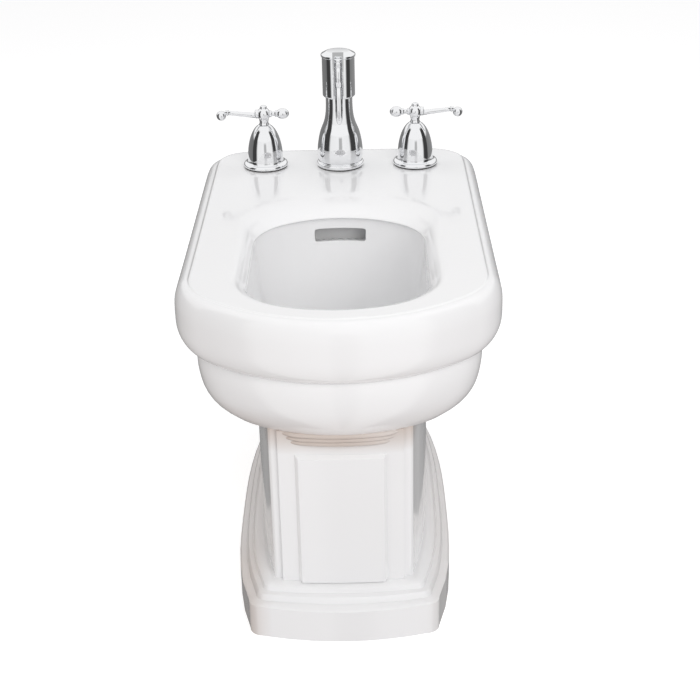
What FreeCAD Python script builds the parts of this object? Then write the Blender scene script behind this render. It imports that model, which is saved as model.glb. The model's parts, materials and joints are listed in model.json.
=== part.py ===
import FreeCAD, Part
import math
import os

# Bidet with a three-hole tap set. Millimetres, +Z up, the front lip towards -Y.
# The origin is on the floor, under the middle of the rim's length and width.

os.makedirs("parts", exist_ok=True)

# driving sizes of the china casting
deck_height = 410.0
overall_width = 372.0
overall_length = 604.0
wall = 11.0
deck_thickness = 12.0
overrun = 1.0

# rim band: the thick rounded collar around the deck
band_height = 75.0
band_front_radius = 222.0
band_corner_radius = 105.0
band_back_corner_radius = 62.0
back_arc_radius = 4000.0
lower_roll_height = 28.0
crease_side_inset = 24.0
crease_front_inset = 14.0
upper_roll_drop = 30.0
upper_roll_inset = 13.0
step_height = 5.0
step_inset = 5.0
roll_steps = 5

# bowl body under the crease: shares of its depth, width, front reach and back reach
body_depth = 73.0
body_lip_gap = 0.6
body_back_margin = 18.0
body_shares = [
    (0.00, 1.000, 1.000, 1.000),
    (0.12, 1.010, 1.006, 0.985),
    (0.28, 1.012, 1.009, 0.955),
    (0.45, 1.003, 1.005, 0.905),
    (0.62, 0.988, 0.995, 0.845),
    (0.78, 0.958, 0.978, 0.780),
    (0.90, 0.910, 0.962, 0.720),
    (1.00, 0.830, 0.945, 0.660),
]
body_front_radius = 208.0
body_corner_radius = 96.0
body_back_corner_radius = 70.0

# neck mouldings between the bowl and the trunk
neck_ring_height = 5.6
neck_ring_count = 3
neck_ring_step = 1.8
neck_ring_groove = 1.6
neck_front_margin = 29.0
neck_half_width = 80.0
neck_front_radius = 250.0
neck_corner_radius = 40.0

# trunk of the pedestal
trunk_front_margin = 45.0
trunk_front_half = 82.0
trunk_front_bow = 3.0
trunk_side_half = 110.0
trunk_side_y = 50.0
trunk_back_margin = 144.0
trunk_back_half = 90.0
trunk_corner_radius = 6.0

# pilaster on the trunk's front, and the raised panel on it
pilaster_half_width = 71.0
pilaster_depth = 6.0
panel_half_width = 52.0
panel_bottom = 61.0
panel_top = 232.0
panel_depth = 5.0
panel_bevel = 4.0

# foot and its stepped mouldings
foot_front_margin = 5.5
foot_front_half = 111.0
foot_front_bow = 18.0
foot_side_half = 133.0
foot_side_y = 60.0
foot_back_margin = 137.0
foot_back_half = 99.0
foot_corner_radius = 16.0
foot_height = 41.0
foot_mould_height = 21.0
# shares of the way from the foot's outline to the trunk's, and of the moulding's height
foot_mould_shares = [(0.00, 0.00), (0.09, 0.11), (0.34, 0.19), (0.40, 0.43), (0.46, 0.52),
                     (0.66, 0.58), (0.72, 0.82), (0.80, 0.90), (1.00, 1.00)]

# basin
basin_flare_shares = [
    (0.00, 1.16, 1.055, 1.95),
    (0.12, 1.11, 1.043, 1.72),
    (0.40, 1.055, 1.026, 1.40),
    (0.75, 1.015, 1.008, 1.13),
    (1.00, 1.00, 1.00, 1.00),
]
basin_edge_drop = 15.0
basin_side_margin = 81.0
basin_front_margin = 54.0
basin_edge_back = 54.0
basin_depth = 158.0
basin_split_drop = 118.0
basin_undercut = 8.0
# shares of the basin's depth, half width, front reach and back reach under the edge
basin_shares = [
    (0.090, 0.997, 0.998, 1.000),
    (0.190, 0.990, 0.993, 1.020),
    (0.380, 0.965, 0.977, 1.010),
    (0.600, 0.920, 0.940, 0.960),
    (0.790, 0.845, 0.845, 0.880),
    (0.920, 0.685, 0.670, 0.780),
    (0.985, 0.480, 0.530, 0.690),
    (1.000, 0.400, 0.490, 0.640),
]
# shares of the basin's half width
basin_front_radius_share = 1.43
basin_corner_radius_share = 0.80
basin_back_radius_share = 1.20
basin_back_corner_radius_share = 0.743

# overflow: slot in the basin's back wall and the channel behind it
slot_width = 68.0
slot_height = 19.0
slot_top_drop = 32.0
slot_corner_radius = 5.0
channel_depth = 14.0
channel_wall = 8.0
channel_low_height = 14.0
channel_low_half = 16.0

# holes for the fittings
tap_side_margin = 84.4
tap_row_margin = 85.0
deck_hole_radius = 17.5
drain_y = 0.0
drain_bore_radius = 22.5
drain_boss_radius = 36.0
drain_boss_depth = 40.0
spray_reach_share = 0.355
spray_bore_radius = 11.0
spray_boss_radius = 22.0
spray_boss_depth = 12.0

# rear opening and the floor fixing lugs
rear_opening_half = 78.0
rear_opening_reach = 80.0
rear_access_half = 128.0
rear_access_reach = 49.0
lug_length = 40.0
lug_width = 40.0
lug_height = 16.0
lug_back_gap = 26.0
floor_hole_radius = 6.0
floor_hole_spacing = 148.0

# clearances
thread_gap = 0.05
shaft_gap = 0.06
moving_gap = 0.4
seat_gap = 0.3

# side valves: heights are above the deck, drops are below it
gasket_thickness = 1.5
escutcheon_radius = 30.0
escutcheon_ring_height = 8.0
escutcheon_ring_round = 1.5
bell_radius = 24.0
bell_top_radius = 8.5
bell_top = 57.5
bell_wall = 2.0
# shares of the bell's base radius less its top radius, and of its height above the ring
bell_shares = [(1.00, 0.00), (0.96, 0.20), (0.89, 0.40), (0.75, 0.60), (0.58, 0.75), (0.36, 0.88), (0.0, 1.0)]
stem_radius = 4.0
stem_bottom = 18.0
stem_top = 76.0
cartridge_radius = 9.0
cartridge_neck_radius = 8.0
cartridge_top = 40.0
cartridge_bottom_drop = 16.0
cartridge_hex_flats = 22.0
cartridge_hex_low = 12.5
cartridge_hex_high = 20.0
shank_radius = 13.5
shank_top = 12.0
shank_bottom_drop = 64.0
inlet_radius = 10.4
inlet_length = 22.0
inlet_bore_radius = 6.5
deck_washer_radius = 25.0
deck_washer_thickness = 2.0
locknut_flats = 36.0
locknut_height = 9.0

# handles
hub_radius = 9.0
hub_neck_radius = 6.65
hub_bottom = 58.0
hub_centre = 73.0
hub_top = 85.0
hub_button_radius = 4.5
hub_button_tip_share = 0.7
lever_rise = 6.5
lever_root_drop = 3.2
lever_ball_drop = 1.5
lever_root_radius = 3.6
lever_tip_radius = 2.7
lever_ball_radius = 6.5
lever_reach = 57.0
lever_collar_radius = 5.8
lever_ball_collar_radius = 4.0
lever_collar_width = 2.6
finial_radius = 7.0
finial_length = 17.6
finial_reach = 34.0
finial_neck_radius = 3.0
finial_collar_radius = 4.5
finial_collar_width = 1.3
finial_steps = 8
set_screw_radius = 1.5

# copper tubes and their compression nuts
tube_radius = 5.0
tube_bore_radius = 4.0
port_radius = 7.5
port_reach = 24.0
port_depth = 9.0
nut_flats = 19.0
nut_length = 9.0
feed_drop = 50.0

# tower: heights are above the deck
tower_flange_radius = 31.5
tower_flange_height = 6.5
tower_belly_radius = 30.5
tower_neck_top = 96.0
# shares of the belly's radius and of the neck's height
tower_shares = [(0.955, 0.088), (0.990, 0.120), (1.000, 0.190), (0.995, 0.270), (0.955, 0.370),
                (0.862, 0.500), (0.684, 0.646), (0.615, 0.750), (0.588, 0.860), (0.584, 1.000)]
tower_passage_radius = 6.0
tower_socket_height = 14.0
tower_seat_depth = 8.0
tower_seat_radius = 10.0
hood_radius = 21.65
hood_top = 150.0
hood_foot_chamfer = 2.0
hood_chamber_radius = 8.0
hood_chamber_height = 18.0
hood_vent_radius = 2.5
hood_vent_turns = [45.0, 90.0, 135.0]
cap_radius = 23.0
cap_top_radius = 16.0
cap_edge_height = 3.0
cap_height = 7.0
groove_half_width = 7.2
groove_depth = 12.2
tower_shank_radius = 7.0
tower_shank_bore_radius = 5.0
tower_hole_radius = 19.5
clamp_plate_radius = 27.0
clamp_plate_thickness = 3.0
tower_nut_flats = 20.0
tower_nut_height = 7.0
manifold_radius = 12.0
manifold_height = 30.0
manifold_reach = 20.0
seat_ring_height = 4.0
seat_ring_bore_radius = 4.5
poppet_radius = 7.2
poppet_thickness = 3.0
poppet_stem_radius = 2.0
poppet_stem_length = 30.0
poppet_travel = 4.0

# lift knob and rod
knob_offset = 15.5
knob_radius = 5.2
knob_top = 150.0
knob_bottom = 42.0
knob_ring_depth = 0.8
knob_ring_width = 1.0
knob_ring_heights = [146.0, 138.5, 112.0]
lift_travel = 26.0
lift_rod_radius = 2.5
lift_rod_length_in_knob = 58.0
lift_rod_bottom_drop = 176.0

# strap that joins the lift rod to the pivot rod
strap_width = 12.0
strap_thickness = 2.4
strap_block_half = 6.5
strap_block_height = 16.0
strap_block_lift = 4.0
strap_tab_length = 36.0
strap_eye_radius = 3.5
strap_screw_radius = 2.0
strap_screw_head_radius = 5.0
strap_screw_head_length = 5.0

# waste
flange_radius = 31.0
flange_lip_height = 3.0
flange_seal_thickness = 1.0
flange_bore_radius = 15.2
flange_tube_radius = 18.0
flange_tube_length = 9.0
drain_body_radius = 21.9
drain_body_bore_radius = 15.0
drain_body_top_drop = 2.0
drain_body_length = 105.0
overflow_port_half = 8.0
drain_gasket_radius = 33.0
drain_gasket_thickness = 4.0
drain_washer_thickness = 1.5
drain_nut_flats = 58.0
drain_nut_height = 8.0
pivot_drop = 72.0
pivot_arm = 27.0
pivot_outer_arm = 85.0
pivot_rod_radius = 2.5
pivot_ball_radius = 6.0
pivot_rod_tip = 5.0
pivot_rod_tail = 10.0
pivot_boss_radius = 10.0
pivot_boss_reach = 34.0
pivot_window_radius = 5.2
pivot_nut_flats = 26.0
pivot_nut_reach = 41.0
pivot_nut_overlap = 4.0
pivot_nut_wall = 3.0
stopper_radius = 22.0
stopper_edge_height = 2.5
stopper_crown_height = 2.5
stopper_stem_radius = 3.0
stopper_guide_radius = 12.0
stopper_guide_height = 6.0
stopper_blade_half = 6.5
stopper_blade_thickness = 2.4
stopper_blade_tail = 10.0
# shares of the stopper's radius and of its crown's height
stopper_crown_shares = [(1.0, 0.0), (0.75, 0.7), (0.3, 1.0)]
stopper_seal_radius = 14.8
stopper_seal_height = 3.0
tailpiece_radius = 15.875
tailpiece_wall = 1.2
tailpiece_collar_radius = 18.0
tailpiece_flange_radius = 20.5
tailpiece_flange_thickness = 2.0
tailpiece_reach = 50.0
tailpiece_nut_flats = 50.0
tailpiece_nut_lap = 9.0
tailpiece_nut_base = 5.0

# vertical spray
spray_head_radius = 20.0
spray_head_height = 6.0
# shares of the spray head's radius and of its dome's height
spray_head_shares = [(1.0, 0.0), (0.8, 0.55), (0.4, 1.0)]
spray_jet_radius = 1.2
spray_jet_ring_radius = 7.0
spray_jet_count = 6
spray_body_radius = 10.7
spray_body_length = 52.0
spray_nut_flats = 28.0
spray_nut_height = 7.0
elbow_radius = 12.5
elbow_height = 26.0
elbow_reach = 22.0
spray_tube_side = 54.0
spray_tube_turn_drop = 140.0
spray_tube_bend_radius = 20.0

crease_height = deck_height - band_height
half_width = overall_width / 2
half_length = overall_length / 2
body_bottom = crease_height - body_depth
body_back_reach = half_length - body_back_margin
neck_front = half_length - neck_front_margin
trunk_front = half_length - trunk_front_margin
trunk_back = half_length - trunk_back_margin
foot_front = half_length - foot_front_margin
foot_back = half_length - foot_back_margin
basin_edge_half = half_width - basin_side_margin
basin_edge_front = half_length - basin_front_margin
tap_row_y = half_length - tap_row_margin
spray_y = -basin_edge_front * spray_reach_share
rear_opening_front = trunk_back - rear_opening_reach
rear_access_front = tap_row_y - rear_access_reach
basin_floor = deck_height - basin_depth
deck_underside = deck_height - deck_thickness
basin_split_height = deck_height - basin_split_drop
slot_top = deck_height - slot_top_drop
channel_front = basin_edge_back + basin_undercut + wall
channel_rear = channel_front + channel_depth
channel_half = slot_width / 2
channel_high = slot_top + channel_wall
channel_low = basin_floor - wall - channel_low_height
valve_x = half_width - tap_side_margin
feed_z = deck_height - feed_drop
knob_y = tap_row_y - knob_offset
boss_bottom = basin_floor - drain_boss_depth
drain_body_top = basin_floor - drain_body_top_drop
drain_body_bottom = drain_body_top - drain_body_length
pivot_y = drain_y + pivot_arm
pivot_z = basin_floor - pivot_drop
strap_y = pivot_y + pivot_outer_arm
pivot_turn = lift_travel / pivot_outer_arm
stopper_travel = pivot_arm * pivot_turn
spray_boss_bottom = basin_floor - spray_boss_depth
spray_body_top = basin_floor + gasket_thickness + spray_head_height / 2
elbow_z = spray_body_top - spray_body_length


def vector(x, y, z=0.0):
    return FreeCAD.Vector(x, y, z)


def arc(start, middle, end):
    return Part.Arc(start, middle, end).toShape()


def line(start, end):
    return Part.LineSegment(start, end).toShape()


def union(shapes):
    first = shapes[0]
    for other in shapes[1:]:
        first = first.fuse(other)
    return first


def without(shape, cutters):
    for cutter in cutters:
        shape = shape.cut(cutter)
    return shape


def box(x0, x1, y0, y1, z0, z1):
    return Part.makeBox(x1 - x0, y1 - y0, z1 - z0, vector(x0, y0, z0))


def rod(radius, start, end):
    along = end - start
    return Part.makeCylinder(radius, along.Length, start, along)


def upright(radius, low, high, x=0.0, y=0.0):
    return rod(radius, vector(x, y, low), vector(x, y, high))


def tube(outer, inner, start, end):
    unit = (end - start).normalize()
    bore = rod(inner, start - unit * overrun, end + unit * overrun)
    return rod(outer, start, end).cut(bore)


def hexagon(across_flats, start, end):
    """A hexagonal prism between two points on its axis."""
    along = end - start
    corner = across_flats / math.sqrt(3)
    points = [vector(corner * math.cos(math.radians(60 * k)), corner * math.sin(math.radians(60 * k)))
              for k in range(7)]
    prism = Part.Face(Part.makePolygon(points)).extrude(vector(0, 0, along.Length))
    prism.Placement = FreeCAD.Placement(start, FreeCAD.Rotation(vector(0, 0, 1), along))
    return prism


def turned(*runs):
    """A solid of revolution about Z: each run of (radius, height) points is a line or a smooth curve."""
    edges = []
    start = runs[0][0]
    here = vector(start[0], 0, start[1])
    if start[0] > 0:
        edges.append(line(vector(0, 0, start[1]), here))
    for run in runs:
        points = [vector(r, 0, z) for r, z in run]
        if (points[0] - here).Length > thread_gap / 10:
            edges.append(line(here, points[0]))
        if len(points) > 2:
            curve = Part.BSplineCurve()
            curve.interpolate(points)
            edges.append(curve.toShape())
        if len(points) == 2:
            edges.append(line(points[0], points[1]))
        here = points[-1]
    if here.x > 0:
        edges.append(line(here, vector(0, 0, here.z)))
    edges.append(line(vector(0, 0, here.z), vector(0, 0, start[1])))
    return Part.Face(Part.Wire(edges)).revolve(vector(0, 0, 0), vector(0, 0, 1), 360)


def outline(half, front, back, front_radius, corner_radius, back_radius, back_corner, z):
    """A rounded D of tangent arcs: half width, front and back reach, and the arcs' radii."""
    def tangent(reach, big, small, sign):
        big_y = sign * (reach - big)
        across = half - small
        small_y = big_y + sign * math.sqrt((big - small) ** 2 - across ** 2)
        turn = math.atan2(sign * (small_y - big_y), across)
        touch = vector(big * math.cos(turn), big_y + sign * big * math.sin(turn), z)
        mid_turn = turn / 2
        middle = vector(across + small * math.cos(mid_turn), small_y + sign * small * math.sin(mid_turn), z)
        side = vector(half, small_y, z)
        return touch, middle, side

    def mirrored(point):
        return vector(-point.x, point.y, point.z)

    front_touch, front_middle, front_side = tangent(front, front_radius, corner_radius, -1)
    back_touch, back_middle, back_side = tangent(back, back_radius, back_corner, 1)
    edges = [
        arc(mirrored(front_touch), vector(0, -front, z), front_touch),
        arc(front_touch, front_middle, front_side),
        line(front_side, back_side),
        arc(back_side, back_middle, back_touch),
        arc(back_touch, vector(0, back, z), mirrored(back_touch)),
        arc(mirrored(back_touch), mirrored(back_middle), mirrored(back_side)),
        line(mirrored(back_side), mirrored(front_side)),
        arc(mirrored(front_side), mirrored(front_middle), mirrored(front_touch)),
    ]
    return Part.Wire(edges)


def band_outline(side_inset, front_inset, z):
    return outline(half_width - side_inset, half_length - front_inset, half_length - front_inset,
                   band_front_radius - front_inset, band_corner_radius - side_inset,
                   back_arc_radius, band_back_corner_radius - side_inset, z)


def body_outline(width_share, front_share, back_share, z, inset=0.0):
    half = half_width - crease_side_inset - body_lip_gap
    front = half_length - crease_front_inset - body_lip_gap
    slimming = half * (1 - width_share)
    return outline(half * width_share - inset, front * front_share - inset,
                   body_back_reach * back_share - inset,
                   body_front_radius - slimming - inset, body_corner_radius - slimming / 2 - inset,
                   back_arc_radius, body_back_corner_radius - inset, z)


def basin_outline(width_share, front_share, back_share, z, undercut=0.0, grow=0.0):
    half = basin_edge_half * width_share
    return outline(half + grow, basin_edge_front * front_share + grow,
                   (basin_edge_back + undercut) * back_share + grow,
                   half * basin_front_radius_share + grow, half * basin_corner_radius_share + grow,
                   half * basin_back_radius_share + grow, half * basin_back_corner_radius_share + grow, z)


def plinth_outline(front, front_half, bow, side_half, side_y, back, back_half, corner, z):
    """The pedestal's plan: bowed front, bulging sides and a straight back, with its corners rounded."""
    left, right = vector(-front_half, -front + bow, z), vector(front_half, -front + bow, z)
    back_right, back_left = vector(back_half, back, z), vector(-back_half, back, z)
    sharp = Part.Wire([
        arc(left, vector(0, -front, z), right),
        arc(right, vector(side_half, -side_y, z), back_right),
        line(back_right, back_left),
        arc(back_left, vector(-side_half, -side_y, z), left),
    ])
    return sharp.makeOffset2D(-corner).makeOffset2D(corner)


def trunk_outline(z, inset=0.0):
    return plinth_outline(trunk_front - inset, trunk_front_half - inset, trunk_front_bow,
                          trunk_side_half - inset, trunk_side_y, trunk_back - inset,
                          trunk_back_half - inset, trunk_corner_radius, z)


def foot_outline(share, z, inset=0.0):
    def between(foot_size, trunk_size):
        return foot_size + (trunk_size - foot_size) * share
    return plinth_outline(between(foot_front, trunk_front) - inset,
                          between(foot_front_half, trunk_front_half) - inset,
                          between(foot_front_bow, trunk_front_bow),
                          between(foot_side_half, trunk_side_half) - inset,
                          between(foot_side_y, trunk_side_y),
                          between(foot_back, trunk_back) - inset,
                          between(foot_back_half, trunk_back_half) - inset,
                          between(foot_corner_radius, trunk_corner_radius), z)


def loft(sections, ruled=False):
    return Part.makeLoft(sections, True, ruled)


def rim_band():
    sections = []
    for step in range(roll_steps + 1):
        turn = math.radians(90.0 * step / roll_steps)
        share = 1 - math.sin(turn)
        z = crease_height + lower_roll_height * (1 - math.cos(turn))
        sections.append(band_outline(crease_side_inset * share, crease_front_inset * share, z))
    top = deck_height - step_height
    for step in range(roll_steps + 1):
        turn = math.radians(90.0 * step / roll_steps)
        inset = upper_roll_inset * (1 - math.cos(turn))
        z = deck_height - upper_roll_drop + (upper_roll_drop - step_height) * math.sin(turn)
        sections.append(band_outline(inset, inset, z))
    plateau_inset = upper_roll_inset + step_inset
    cove_inset = plateau_inset - step_inset / 3
    cove = loft([band_outline(upper_roll_inset, upper_roll_inset, top - overrun),
                 band_outline(cove_inset, cove_inset, top + step_height / 3),
                 band_outline(plateau_inset, plateau_inset, deck_height)], True)
    return loft(sections).fuse(cove)


def neck_rings():
    rings = []
    for index in range(neck_ring_count):
        reach = neck_front - neck_ring_step * index
        high = body_bottom - neck_ring_height * index
        low = high - neck_ring_height
        middle = (high + low) / 2
        narrow = reach - neck_ring_groove
        sections = [outline(neck_half_width - neck_front + size, size, size / 2, neck_front_radius,
                            neck_corner_radius, back_arc_radius, neck_corner_radius, z)
                    for size, z in [(narrow, low), (reach, middle), (narrow, high)]]
        rings.append(loft(sections, True))
    return union(rings)


def pedestal():
    sections = [foot_outline(0.0, 0.0)]
    sections += [foot_outline(inward, foot_height + foot_mould_height * up)
                 for inward, up in foot_mould_shares]
    trunk_foot = foot_height + foot_mould_height - overrun
    rise = vector(0, 0, body_bottom - trunk_foot)
    trunk = Part.Face(trunk_outline(trunk_foot)).extrude(rise)
    face_y = -trunk_front - pilaster_depth + trunk_front_bow
    pilaster_plan = plinth_outline(trunk_front + pilaster_depth, pilaster_half_width, trunk_front_bow,
                                   pilaster_half_width, trunk_side_y, 0, pilaster_half_width - overrun,
                                   panel_bevel, trunk_foot)
    pilaster = Part.Face(pilaster_plan).extrude(rise)
    inner_half = panel_half_width - panel_bevel
    panel = loft([
        Part.makePolygon([vector(-panel_half_width, face_y, panel_bottom),
                          vector(panel_half_width, face_y, panel_bottom),
                          vector(panel_half_width, face_y, panel_top),
                          vector(-panel_half_width, face_y, panel_top),
                          vector(-panel_half_width, face_y, panel_bottom)]),
        Part.makePolygon([vector(-inner_half, face_y - panel_depth, panel_bottom),
                          vector(inner_half, face_y - panel_depth, panel_bottom),
                          vector(inner_half, face_y - panel_depth, panel_top - panel_bevel),
                          vector(-inner_half, face_y - panel_depth, panel_top - panel_bevel),
                          vector(-inner_half, face_y - panel_depth, panel_bottom)]),
    ], True)
    return union([loft(sections, True), trunk, pilaster, panel])


def rear_cut(low, high):
    """The open back of the casting, between two heights."""
    return box(-rear_opening_half, rear_opening_half, rear_opening_front, half_length + overrun, low, high)


def basin_shell():
    sections = [basin_outline(width, front, back, deck_height - (basin_depth + wall) * depth,
                              basin_undercut, wall) for depth, width, front, back in basin_shares]
    top = basin_outline(1.0, 1.0, 1.0, deck_underside, basin_undercut, wall)
    return loft([top, sections[0]], True).fuse(loft(sections))


def basin_hollow():
    flare_depth = basin_edge_drop + overrun
    flare = loft([basin_outline(width, front, back, deck_height + overrun - flare_depth * drop)
                  for drop, width, front, back in basin_flare_shares])
    sections = [basin_outline(width, front, back, deck_height - basin_depth * depth, basin_undercut)
                for depth, width, front, back in basin_shares]
    return flare.fuse(loft(sections))


def slot_cutter(half, low, high, y0, y1, corner):
    slot = box(-half, half, y0, y1, low, high)
    long_edges = [edge for edge in slot.Edges if abs(edge.tangentAt(edge.FirstParameter).y) > 0.5]
    return slot.makeFillet(corner, long_edges)


def channel_lump():
    """Solid behind the basin's back wall, with a foot that runs forward to the drain."""
    half = channel_half + channel_wall
    low = channel_low - channel_wall
    lump = box(-half, half, channel_front - wall, channel_rear + channel_wall, low,
               channel_high + channel_wall)
    foot = box(-channel_half, channel_half, drain_y, channel_rear, low,
               channel_low + channel_low_height + channel_wall)
    return lump.fuse(foot)


def channel_hollow():
    """Overflow's way from the slot in the basin's back wall down to the drain."""
    duct = box(-channel_half, channel_half, channel_front, channel_rear, channel_low, channel_high)
    low_duct = box(-channel_low_half, channel_low_half, drain_y, channel_rear,
                   channel_low, channel_low + channel_low_height)
    slot = slot_cutter(channel_half, slot_top - slot_height, slot_top, basin_edge_back - wall,
                       channel_rear, slot_corner_radius)
    return union([duct, low_duct, slot])


def china_rim():
    """Rim band and deck, open underneath, with the basin's mouth and the fittings' holes."""
    side_inset, front_inset = crease_side_inset + wall, crease_front_inset + wall
    cutters = [loft([band_outline(side_inset, front_inset, crease_height - overrun),
                     band_outline(side_inset, front_inset, deck_underside)], True),
               basin_hollow()]
    for x, radius in ((-valve_x, deck_hole_radius), (0, tower_hole_radius), (valve_x, deck_hole_radius)):
        cutters.append(upright(radius, deck_underside - overrun, deck_height + overrun, x, tap_row_y))
    return without(rim_band(), cutters).removeSplitter()


def basin_part(low, high):
    """Solid shape of the basin between two heights."""
    return basin_shell().common(box(-half_width, half_width, -half_length, half_length, low, high))


def drain_boss():
    return upright(drain_boss_radius, boss_bottom, basin_floor, 0, drain_y)


def basin_wall():
    """Ring of the basin's steep wall under the deck, with the overflow slot at the back."""
    ring_solid = basin_part(basin_split_height, deck_underside)
    return without(ring_solid, [basin_hollow(), channel_hollow()]).removeSplitter()


def basin_dish():
    """Rounded bottom of the basin, with its drain and spray bosses."""
    spray_boss = upright(spray_boss_radius, spray_boss_bottom, basin_floor, 0, spray_y)
    dish = basin_part(boss_bottom, basin_split_height)
    cutters = [basin_hollow(), channel_hollow(),
               upright(drain_bore_radius, boss_bottom - overrun, basin_floor + overrun, 0, drain_y),
               upright(spray_bore_radius, spray_boss_bottom - overrun, basin_floor + overrun, 0, spray_y)]
    return without(union([dish, drain_boss(), spray_boss]), cutters).removeSplitter()


def overflow_duct():
    """Hollow lump behind the basin, from the overflow slot down to the drain."""
    return without(channel_lump(), [basin_shell(), drain_boss(), channel_hollow()]).removeSplitter()


def china_bowl():
    """Bowl wall from the crease down to the neck, with a ledge inside its foot and an open back."""
    sections = [body_outline(width, front, back, crease_height - body_depth * drop)
                for drop, width, front, back in body_shares]
    inside = [body_outline(width, front, back, crease_height - body_depth * drop + wall, wall)
              for drop, width, front, back in body_shares]
    well = Part.Face(trunk_outline(body_bottom - overrun, wall)).extrude(vector(0, 0, 2 * wall))
    access = box(-rear_access_half, rear_access_half, rear_access_front, half_length + overrun,
                 body_bottom - overrun, crease_height + overrun)
    cutters = [loft(inside), basin_shell(), well, access,
               rear_cut(body_bottom - overrun, crease_height + overrun)]
    return without(loft(sections), cutters).removeSplitter()


def china_pedestal():
    """Neck mouldings, trunk and foot, hollow and open at the back, with two lugs for the floor bolts."""
    solid = neck_rings().fuse(pedestal())
    foot_hollow = Part.Face(foot_outline(0.0, -overrun, wall + 2 * overrun)).extrude(
        vector(0, 0, foot_height - wall / 2))
    trunk_hollow = Part.Face(trunk_outline(-overrun, wall)).extrude(vector(0, 0, body_bottom + 2 * overrun))
    shell = without(solid, [foot_hollow, trunk_hollow, rear_cut(-overrun, body_bottom + overrun)])
    lug_y = trunk_back - lug_back_gap - lug_length
    lug_inner = trunk_back_half - lug_width
    parts = [shell]
    for side in (-1, 1):
        near, far = sorted([side * lug_inner, side * foot_side_half])
        parts.append(box(near, far, lug_y, lug_y + lug_length, 0, lug_height).common(solid))
    cutters = []
    for side in (-1, 1):
        place = vector(side * floor_hole_spacing / 2, lug_y + lug_length / 2, -overrun)
        cutters.append(rod(floor_hole_radius, place, place + vector(0, 0, lug_height + 2 * overrun)))
    return without(union(parts), cutters).removeSplitter()


def placed(shape, x, y, z=0.0):
    return shape.translated(vector(x, y, z))


def ring(outer, inner, low, high, x, y):
    return tube(outer, inner, vector(x, y, low), vector(x, y, high))


def nut(across_flats, bore, low, high, x, y):
    solid = hexagon(across_flats, vector(x, y, low), vector(x, y, high))
    return solid.cut(upright(bore, low - overrun, high + overrun, x, y))


def bell_points(thinner):
    height = bell_top - escutcheon_ring_height
    spread = bell_radius - bell_top_radius
    return [(bell_top_radius + spread * out - thinner, escutcheon_ring_height + height * up)
            for out, up in bell_shares]


def escutcheon():
    """Bell on a rounded base ring, hollow for the cartridge and bored for the stem."""
    ring_edge = escutcheon_radius - escutcheon_ring_round
    shoulder = escutcheon_ring_height - 2 * escutcheon_ring_round
    middle = escutcheon_ring_height / 2
    outside = turned([(escutcheon_radius, gasket_thickness), (escutcheon_radius, middle)],
                     [(escutcheon_radius, middle), (ring_edge, shoulder)],
                     [(ring_edge, shoulder), (bell_radius, escutcheon_ring_height)],
                     bell_points(0.0))
    inside_points = bell_points(bell_wall)[:-1]
    inside = turned([(bell_radius - bell_wall, 0.0), inside_points[0]], inside_points)
    bore = upright(stem_radius + moving_gap, 0, bell_top + overrun)
    return outside.cut(inside).cut(bore)


def cartridge():
    low = upright(cartridge_radius, -cartridge_bottom_drop, cartridge_hex_low)
    flats = hexagon(cartridge_hex_flats, vector(0, 0, cartridge_hex_low), vector(0, 0, cartridge_hex_high))
    neck = upright(cartridge_neck_radius, cartridge_hex_high, cartridge_top)
    bore = upright(stem_radius + shaft_gap, stem_bottom - moving_gap, cartridge_top + overrun)
    return union([low, flats, neck]).cut(bore)


def valve_body(side):
    """Threaded shank through the deck, inlet below it, outlet port towards the tower."""
    shank = upright(shank_radius, -shank_bottom_drop, shank_top)
    inlet = upright(inlet_radius, -shank_bottom_drop - inlet_length, -shank_bottom_drop)
    port = rod(port_radius, vector(0, 0, -feed_drop), vector(-side * port_reach, 0, -feed_drop))
    cutters = [
        upright(cartridge_radius + thread_gap, -cartridge_bottom_drop, shank_top + overrun),
        upright(inlet_bore_radius, -shank_bottom_drop - inlet_length - overrun, -cartridge_bottom_drop),
        rod(tube_bore_radius, vector(0, 0, -feed_drop), vector(-side * port_reach, 0, -feed_drop)),
        rod(tube_radius + thread_gap, vector(-side * (port_reach - port_depth), 0, -feed_drop),
            vector(-side * (port_reach + overrun), 0, -feed_drop)),
    ]
    return without(union([shank, inlet, port]), cutters)


def handle_hub():
    """A ball on a neck, with a small button on top."""
    button_edge = hub_top - hub_button_radius / 3
    button_tip_radius = hub_button_radius * hub_button_tip_share
    neck = upright(hub_neck_radius, hub_bottom, hub_centre)
    ball = Part.makeSphere(hub_radius, vector(0, 0, hub_centre))
    button = turned([(hub_button_radius, hub_centre), (hub_button_radius, button_edge)],
                    [(hub_button_radius, button_edge), (button_tip_radius, hub_top)])
    return union([neck, ball, button])


def hub_with_bores():
    shape = handle_hub()
    stem_bore = upright(stem_radius + thread_gap, hub_bottom - overrun, stem_top + thread_gap)
    screw_bore = rod(set_screw_radius + thread_gap, vector(0, stem_radius, hub_centre),
                     vector(0, hub_radius + overrun, hub_centre))
    return shape.cut(stem_bore).cut(screw_bore)


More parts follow.
